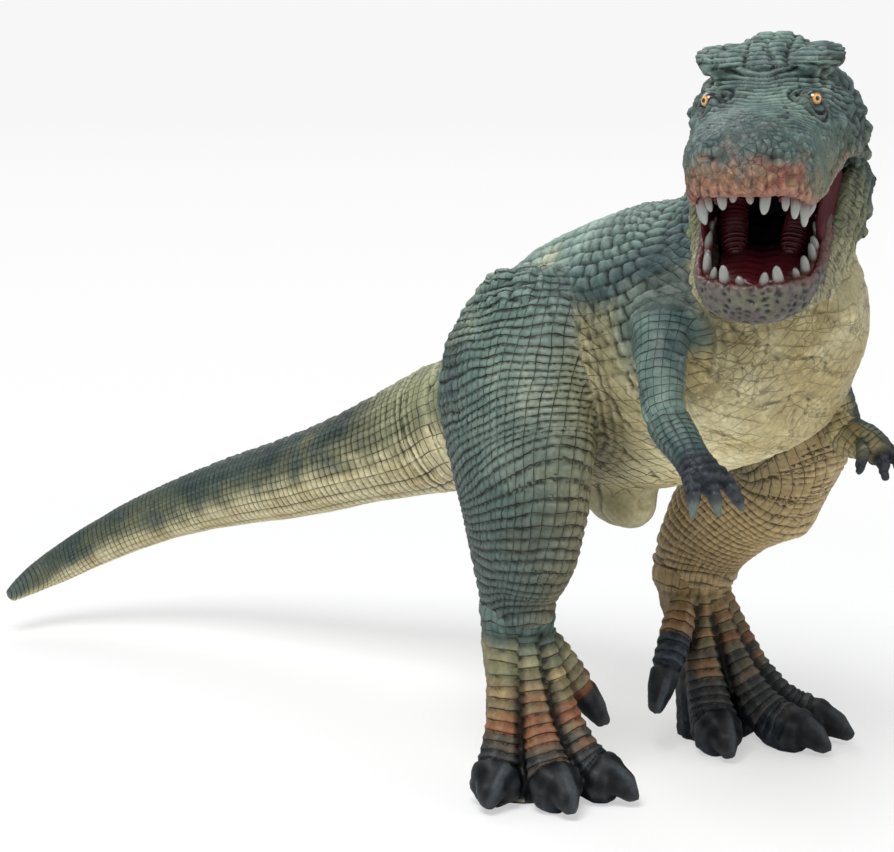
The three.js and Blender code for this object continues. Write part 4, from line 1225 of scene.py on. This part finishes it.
def make_palate():
    piece = skin_of("palate_skin", FIGURE, ("palate",), MOUTH_GRAIN, even=4)
    places = places_of(piece)
    x, y, z = into(head_turn, places).T
    raised(piece, places, np.sin(y * TURN / 2.6 + np.abs(x) * 0.25) * 0.22 * ramp(-z, -6.5, -5))
    # Maroon, with painted shade that deepens towards the throat
    colour = mixed(MAROON, INK * 0.35, ramp(y + layered(places, 5, 121) * 4, -34, -14))
    coated(piece, wash_and_painted_light(piece, colour, 4, 0.25, 0.5, 0.3), plate=0, crack=0.3)
    cells_on(piece, x, y, NO_WRAP)
    wear(piece, hide_paint("palate_hide", 0.25, crack=1.8, coat=0.5))


def make_jaw():
    piece = skin_of("jaw_skin", JAW, ("lower_jaw",), MOUTH_GRAIN, even=5)
    places = places_of(piece)
    local = into(jaw_turn, places)
    facing = normals_of(piece) @ np.array(jaw_turn)
    x, y, z = local.T
    wave = layered(local, 7, 131)
    mouth = side_of_mouth(local, facing, JAW_MOUTH_MIDDLE)
    outer = 1 - mouth
    pits, owner = pebbles(local, 1.6, 133)
    chin = ramp(-y, 38, 46)
    relief = (0.4 - ramp(pits, 0.1, 0.6)) * 0.35 * outer * (0.5 + chin)
    lip = hump(z - heights(JAW_LIP_LINE, y), -1.0, 1.3) * outer * ramp(-y, 8, 14)
    beads = beads_on(x, y, 24, 25, 2.4)
    relief += lip * (0.35 + 0.35 * beads) + wave * 0.35 * outer
    folds = np.sin((z + y * 0.25 + wave * 1.5) * 1.7) * 0.2 * outer * ramp(y, -40, -30)
    raised(piece, places, relief + folds)
    cells_on(piece, x, y, NO_WRAP)
    blotch = layered(local, 8, 141)
    edge = layered(local, 2.8, 143)
    spots = ramp(pits, 0.2, 0.42) * (hashed((owner * NO_WRAP).astype(np.int64)[:, None], 5) > 0.35)
    depth = 1.5 + 3 * ramp(y, -42, -32)
    red = ramp(z - heights(JAW_LIP_LINE, y) + depth + edge, 0, 1.8) * ramp(-y, 10, 16)
    colour = coats(
        MAUVE,
        (OLIVE * 0.8, ramp(blotch + edge * 0.5, -0.1, 0.6) * 0.6),
        (CREAM * 0.8, ramp(-z, 13, 18) * 0.6 * ramp(y, -48, -30)),
        (OLIVE, ramp(y, -36, -18) * 0.6),
        (DEEP_TEAL * 0.3, spots * (0.25 + 0.6 * chin) * outer),
        (LIP * 0.6, red * outer * 0.75),
    )
    # The mouth's floor: maroon, with painted shade that deepens towards the throat
    floor = mixed(MAROON, INK * 0.6, ramp(y, -26, -12))
    coated(
        piece,
        mixed(wash_and_painted_light(piece, colour, 5, 0.3, 0.7, 0.35), floor, mouth),
        plate=0,
        crack=outer * (1 - chin) * 0.5,
    )
    wear(piece, hide_paint("jaw_hide", 0.4, crack=2.2, coat=0.15))


def shaped(name, body, points, finish):
    """A piece from a bmesh whose places are in millimetres"""
    bmesh.ops.scale(points, verts=points.verts, vec=(MM, MM, MM))
    bmesh.ops.recalc_face_normals(points, faces=points.faces)
    piece = new_piece(name, mesh_from(points, name), body)
    smooth(piece.data)
    wear(piece, finish)
    return piece


def pod(bm, turn, rows, top, rings=24, sides=20, cap=0.12, relief=None):
    """Adds a closed form along rows of a place, a half width and a half height.

    The rows are in the frame of the head or the jaw. relief gives a height at a share of
    the length and a turn.
    """
    rows = np.array(rows, float)
    spine = Spine(rows[:, :3], top)
    shares = np.linspace(0, 1, len(rows))
    made = bmesh.ops.create_uvsphere(bm, u_segments=sides, v_segments=rings, radius=1)
    for vert in made["verts"]:
        share = math.acos(max(-1, min(1, vert.co.z))) / math.pi
        round_turn = math.atan2(vert.co.y, vert.co.x)
        near = min(share, 1 - share)
        close = math.sqrt(max(0, 1 - (1 - min(near / cap, 1)) ** 2))
        at = min(int(share * (len(spine.line) - 1)), len(spine.line) - 1)
        half_width = np.interp(share, shares, rows[:, 3]) * close
        half_height = np.interp(share, shares, rows[:, 4]) * close
        lift = relief(share, round_turn) * close if relief else 0
        spot = (
            spine.line[at]
            + spine.side[at] * math.cos(round_turn) * (half_width + lift)
            + spine.up[at] * math.sin(round_turn) * (half_height + lift)
        )
        vert.co = Vector(out_of(turn, spot))


# Each half of the two arches from the back to the front, across and along the head
UPPER_ARCH = [
    (12.2, -18), (12.1, -25), (11.7, -32), (11.3, -38.5),
    (10.4, -44), (8.2, -49), (4.8, -52.4), (0, -54),
]
LOWER_ARCH = [
    (11.4, -16), (11.6, -24), (11.6, -32), (11.3, -38.5),
    (10.2, -44), (7.4, -48.2), (3.8, -50.4), (0, -51),
]
# Along each half of an arch from the front: where a tooth stands, its length and half width
UPPER_TEETH = [
    (1.6, 4.6, 1.05), (5.2, 6.2, 1.3), (9.4, 5.4, 1.15), (13.2, 6.8, 1.4), (17.4, 7.4, 1.4),
    (21.6, 6.2, 1.25), (25.6, 5.8, 1.3), (29.6, 4.6, 1.1), (33.6, 3.6, 1),
]
LOWER_TEETH = [
    (2.2, 4.8, 1.2), (6.2, 6, 1.4), (10.2, 4.8, 1.15), (14, 6.4, 1.4), (18.2, 5.6, 1.25),
    (22.4, 5.5, 1.35), (26.6, 5.2, 1.2), (30.6, 3.8, 1.05), (34.4, 3.2, 0.95),
]
GUM_LIFT, GUM_SIZE, ROOT_DEPTH = 1.3, (1.1, 1.2), 1.4
TOOTH_SEEDS = {1: 7, -1: 11}
TOOTH_ROOT, TOOTH_IVORY, TOOTH_TIP = rgb("#6b453a"), rgb("#8d9089"), rgb("#a9aca5")


def arch_line(arch, line, lift, turn_side):
    places = [(x * turn_side, y, float(heights(line, y)) + lift) for x, y in arch]
    return Spine(places[::-1], UP)


def make_teeth(label, body, turn, arch, line, teeth, way):
    """A gum bar and its teeth. way is -1 for teeth that hang and 1 for teeth that stand."""
    bm = bmesh.new()
    gum = bmesh.new()
    rng = np.random.default_rng(TOOTH_SEEDS[way])
    halves = []
    for turn_side in (1, -1):
        bar = arch_line(arch, line, -GUM_LIFT * way, turn_side)
        halves.append([(*place, *GUM_SIZE) for place in bar.line[::6]])
        for at, length, width in teeth:
            at += rng.uniform(-0.5, 0.5)
            length *= rng.uniform(0.88, 1.1)
            spot = np.abs(bar.reach - at).argmin()
            root, ahead = Vector(bar.line[spot]), Vector(bar.ahead[spot])
            outward = ahead.cross(Vector(UP)) * turn_side
            if outward.x * turn_side < 0:
                outward.negate()
            lean = Vector((0, 0, way)) + outward * 0.1 + ahead * rng.uniform(-0.16, 0.16)
            curl = ahead * rng.uniform(0.2, 0.7) - outward * 1.1
            made = bmesh.ops.create_uvsphere(bm, u_segments=16, v_segments=16, radius=1)
            for vert in made["verts"]:
                share = (vert.co.z + 1) / 2
                blunt = math.sqrt(1 + vert.co.z**2)
                slim = (0.98 - 0.3 * share**2) * width * blunt
                across = ahead * vert.co.x * slim + outward * vert.co.y * slim * 0.8
                spot = root + lean * (length * share - ROOT_DEPTH)
                spot += across + curl * share**2
                vert.co = Vector(out_of(turn, np.array(spot)))

    def socket(share, _):
        return 0.18 * math.cos(share * (2 * len(teeth) - 1) * TURN)

    rows = halves[1][::-1] + halves[0][1:]
    pod(gum, turn, rows, UP, rings=180, sides=14, cap=0.02, relief=socket)
    tooth_row = shaped(label + "_tooth_row", body, bm, tooth_paint)
    worn = layered(places_of(tooth_row), 2.2, 161)
    local = into(turn, places_of(tooth_row))
    along = (local[:, 2] - heights(line, local[:, 1])) * way
    colour = mixed(TOOTH_ROOT, TOOTH_IVORY, ramp(along + worn, -0.2, 1.6))
    coated(tooth_row, mixed(colour, TOOTH_TIP, ramp(along + worn, 1.5, 5)))
    gum_bar = shaped(label + "_gum", body, gum, gum_paint)
    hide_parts(label + "_teeth")


# Rows of places, half widths and half heights
TONGUE_ROWS = [
    (0, -11, -6.5, 8, 3.2), (0, -20, -8.6, 9.2, 2.6), (0, -31, -9.6, 9.4, 2.2),
    (0, -40, -9.8, 8.6, 2), (0, -46, -9.9, 6, 1.5),
]
FOLD_ROWS = [
    (5.2, -13.5, 5.5, 2.4, 2.6), (6.4, -15, 0, 2.6, 3), (7.4, -18.5, -7, 3, 3.2),
    (7, -24, -13.5, 3, 2.6), (5.8, -31, -19, 2.6, 1.8),
]
THROAT_ROWS = [
    (0, -9.5, 6, 11, 1.6), (0, -10.4, 0, 12, 1.8), (0, -12, -8, 11, 1.8), (0, -17, -15, 9, 1.6),
]
CHEEK_ROWS = [
    (11.4, -41, -26, 0.9, 1.2), (12, -34, -24.8, 2.3, 2.6), (12.8, -26, -22.4, 3.1, 4.2),
    (13.8, -17, -18.4, 3.8, 6), (15.2, -8, -13.8, 4.4, 7.6), (15.4, 2, -10.6, 4.2, 8.4),
    (13.4, 9, -10, 3, 7),
]
CORNER_ROWS = [
    (12.2, -31, -15, 0.8, 5), (12.6, -24, -10.5, 0.9, 6),
    (13.4, -16, -6.5, 1, 6), (13.8, -9, -3.8, 1, 4.8),
]


def sided(rows, turn_side):
    return [(x * turn_side, *rest) for x, *rest in rows]


def blended(piece):
    """Bakes the transform of a piece into its mesh"""
    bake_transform(piece)


def make_mouth():
    bm = bmesh.new()

    def tongue_relief(share, turn):
        groove = math.exp(-((math.cos(turn) / 0.2) ** 2)) * max(0, math.sin(turn))
        return -0.9 * groove + 0.12 * math.sin(share * 90)

    pod(bm, jaw_turn, TONGUE_ROWS, UP, rings=60, sides=40, cap=0.1, relief=tongue_relief)
    tongue = shaped("tongue_skin", JAW, bm, painted("tongue_paint", 0.3, 0.5))
    # The tongue's back is darkened: painted shade deep in the mouth
    back = ramp(into(jaw_turn, places_of(tongue))[:, 1], -40, -30)
    coated(tongue, mixed(FLESH * 1.2, INK * 0.4, back))
    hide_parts("tongue")
    # Two ribbed folds stand at the back of the mouth

    def fold_relief(share, _):
        return 0.3 * math.sin(share * 210)

    bm = bmesh.new()
    for turn_side in (1, -1):
        rows = sided(FOLD_ROWS, turn_side)
        pod(bm, head_turn, rows, FRONT, rings=200, sides=20, relief=fold_relief)
    folds = shaped("throat_folds", None, bm, mouth_paint)
    blended(folds)
    # A dark wall of painted shade at the back of the throat
    bm = bmesh.new()
    pod(bm, head_turn, THROAT_ROWS, FRONT, rings=30, sides=30, cap=0.15)
    throat = shaped("throat_shade_wall", None, bm, throat_shade_paint)
    blended(throat)


CHEEK_KNOBS = [(-33, -26), (-28, -25), (-22, -23.5), (-16, -21.5), (-9, -18.5), (-2, -15), (3, -9)]


def corner_relief(share, turn):
    return 0.2 * math.sin(turn * 12 + share * 8)


def make_cheeks():
    """Muscle and skin at the corners of the jaw, and the web at the mouth's corners"""
    for label, turn_side in (("left", 1), ("right", -1)):
        bm = bmesh.new()
        rows = sided(CHEEK_ROWS, turn_side)
        pod(bm, head_turn, rows, UP, rings=130, sides=96, cap=0.1)
        cheek = shaped(label + "_cheek_skin", None, bm, None)
        places = places_of(cheek)
        local = into(head_turn, places)
        _, y, z = local.T
        wave = layered(local, 7, 151)
        edge = layered(local, 2.6, 153)
        grain, _ = pebbles(local, 2.2, 155)
        fold = np.sin((z - y * 0.75 + wave * 2) * 1.5)
        relief = (grain - 0.3) * 0.5 + fold * 0.28 + wave * 0.6
        for knob_y, knob_z in CHEEK_KNOBS:
            relief += hump(np.hypot(y - knob_y, z - knob_z), 0, 1.5) * 1.3
        raised(cheek, places, relief)
        red = ramp(z - y * 0.35 + wave * 3, 3, 7) * ramp(-y, 12, 20)
        colour = coats(
            OLIVE * 0.85,
            (MAUVE * 0.8, ramp(wave + edge * 0.6, -0.2, 0.5) * 0.6),
            (CREAM * 0.7, ramp(-z - y * 0.3 + wave * 5, 20, 30) * 0.6),
            (DEEP_TEAL, ramp(y + wave * 5, -14, 2) * 0.75),
            (LIP * 0.75, red * 0.6),
        )
        coated(cheek, wash_and_painted_light(cheek, colour, 4, 0.3, 0.75, 0.4), plate=0, crack=0.6)
        cells_on(cheek, y, z, NO_WRAP)
        wear(cheek, cheek_paint)
        blended(cheek)
        web = bmesh.new()
        rows = sided(CORNER_ROWS, turn_side)
        pod(web, head_turn, rows, UP, rings=50, sides=30, relief=corner_relief)
        corner = shaped(label + "_mouth_corner", None, web, flesh_paint)
        blended(corner)


AMBER, HONEY, PALE_AMBER = rgb("#c9791c"), rgb("#e0a53a"), rgb("#e8cf8a")


def make_eye(label, turn_side):
    bm = bmesh.new()
    made = bmesh.ops.create_uvsphere(bm, u_segments=40, v_segments=28, radius=EYE_RADIUS)
    place = Vector(EYE_PLACE * (turn_side, 1, 1))
    gaze = Vector(EYE_GAZE * (turn_side, 1, 1)).normalized()
    aim = gaze.to_track_quat("Z", "Y").to_matrix()
    bmesh.ops.transform(bm, matrix=Matrix.Translation(place) @ aim.to_4x4(), verts=made["verts"])
    for vert in bm.verts:
        vert.co = Vector(out_of(head_turn, np.array(vert.co)))
    eye = shaped(label + "_eye_ball", FIGURE, bm, eye_paint)
    local = into(head_turn, places_of(eye)) - np.array(place)
    off = np.arccos(np.clip(local @ np.array(gaze) / np.linalg.norm(local, axis=1), -1, 1))
    colour = coats(
        HONEY,
        (AMBER, ramp(off, 0.3, 0.6)),
        (PALE_AMBER, hump(off, 0.38, 0.08) * 0.6),
        (INK, ramp(0.27 - off, -0.04, 0.04)),
        (INK, ramp(off, 0.62, 0.72)),
    )
    coated(eye, colour)
    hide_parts(label + "_eye")


gum_paint = plain_paint("gum_paint", rgb("#5c2a2a"), 0.35, coat=0.3, size=600, bump=0.3)
# Near black: painted shade for the depth of the throat
throat_shade_paint = plain_paint("throat_shade_paint", INK * 0.35, 0.6)
tooth_paint = painted("tooth_paint", 0.3, coat=0.4)
mouth_paint = plain_paint("mouth_paint", MAROON * 1.5, 0.25, coat=0.5, size=400, bump=0.3)
flesh_paint = plain_paint(
    "flesh_paint", FLESH * 0.45, 0.6, speck=0.4, size=400, bump=0.3, shine=0.15
)
cheek_paint = hide_paint("cheek_hide", 0.45, crack=2.2)
eye_paint = painted("eye_paint", 0.12, coat=1.0)
make_head()
make_palate()
make_jaw()
make_teeth("upper", FIGURE, head_turn, UPPER_ARCH, LIP_LINE, UPPER_TEETH, -1)
make_teeth("lower", JAW, jaw_turn, LOWER_ARCH, JAW_LIP_LINE, LOWER_TEETH, 1)
make_mouth()
make_cheeks()
make_eye("left", 1)
make_eye("right", -1)

# Parts of the solids that keep their own mesh

bare_plastic = plain_paint("bare_plastic", rgb("#b9b4a8"), 0.5)
hip_plugs = ("right_hip_plug", "left_hip_plug")
elbow_plugs = ("right_elbow_plug", "left_elbow_plug")
for node in ("jaw_pin", "neck_plug", "tail_plug", *hip_plugs, *elbow_plugs):
    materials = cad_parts[node].data.materials
    materials.clear()
    materials.append(bare_plastic)


# Floor, light and camera, in metres

FLOOR_HALF = 3
PAPER_GREY, BACKDROP_GREY = (0.9, 0.9, 0.9, 1), (0.93, 0.93, 0.93, 1)
SKY_TINT, SKY_STRENGTH = (0.95, 0.98, 1, 1), 0.35
# How far away the paper's glow starts to grow and is full, and how much of it shows at each
NEAR_GLOW = (0.12, 0.4, 0.5, 1)
# How far away the glow starts to dim and has dimmed, and its strength at each
FAR_GLOW = (0.4, 2.6, 1, 0.93)
LIT_PLACE = Vector((0, -0.02, 0.08))
# Each lamp's name, place, width and power
LAMPS = [
    ("key_light", (-0.45, -0.35, 0.95), 0.5, 9.8),
    ("fill_light", (0.7, -0.8, 0.45), 0.8, 2.2),
    ("back_light", (0.2, 0.8, 0.8), 0.7, 3.5),
]


def make_floor():
    bm = bmesh.new()
    bmesh.ops.create_grid(bm, x_segments=1, y_segments=1, size=FLOOR_HALF)
    floor = new_piece("floor", mesh_from(bm, "floor"), None)
    paint = Paint("floor_paper", 0.9, shine=0.1)
    paint.shader.inputs["Base Color"].default_value = PAPER_GREY
    away = paint.add("VectorMath", {0: paint.coord["Object"]}, operation="LENGTH").outputs["Value"]
    glow = paint.add("Emission", {"Strength": paint.span(away, FAR_GLOW)})
    shown = paint.span(away, NEAR_GLOW, "SMOOTHSTEP")
    camera_ray = paint.add("LightPath").outputs["Is Camera Ray"]
    share = paint.math("MULTIPLY", shown, camera_ray)
    paint.seen_as(share, paint.shader, glow, "Material Output")
    floor.data.materials.append(paint.material)


def make_world():
    world = bpy.data.worlds.new("studio")
    bpy.context.scene.world = world
    tree = Tree(world)
    light = tree.nodes["Background"]
    light.inputs["Color"].default_value = SKY_TINT
    light.inputs["Strength"].default_value = SKY_STRENGTH
    backdrop = tree.add("Background", Color=BACKDROP_GREY)
    camera_ray = tree.add("LightPath").outputs["Is Camera Ray"]
    tree.seen_as(camera_ray, light, backdrop, "World Output")


def add_lamp(name, place, width, power):
    lamp = bpy.data.lights.new(name, "AREA")
    lamp.size = width
    lamp.energy = power
    holder = bpy.data.objects.new(name, lamp)
    bpy.context.collection.objects.link(holder)
    holder.location = place
    holder.rotation_euler = (LIT_PLACE - Vector(place)).to_track_quat("-Z", "Y").to_euler()


def make_camera():
    turn, rise = math.radians(CAMERA_TURN), math.radians(CAMERA_RISE)
    back = Vector(
        (math.sin(turn) * math.cos(rise), -math.cos(turn) * math.cos(rise), math.sin(rise))
    )
    lens = bpy.data.cameras.new("camera")
    lens.lens = CAMERA_LENS
    lens.sensor_width = CAMERA_SENSOR
    lens.clip_start = CAMERA_NEAR
    camera = bpy.data.objects.new("camera", lens)
    bpy.context.collection.objects.link(camera)
    camera.location = (Vector(AIM) + back * CAMERA_REACH) * MM
    camera.rotation_euler = (-back).to_track_quat("-Z", "Y").to_euler()
    bpy.context.scene.camera = camera


make_floor()
make_world()
for lamp in LAMPS:
    add_lamp(*lamp)
make_camera()
bpy.context.scene.view_settings.view_transform = "Standard"
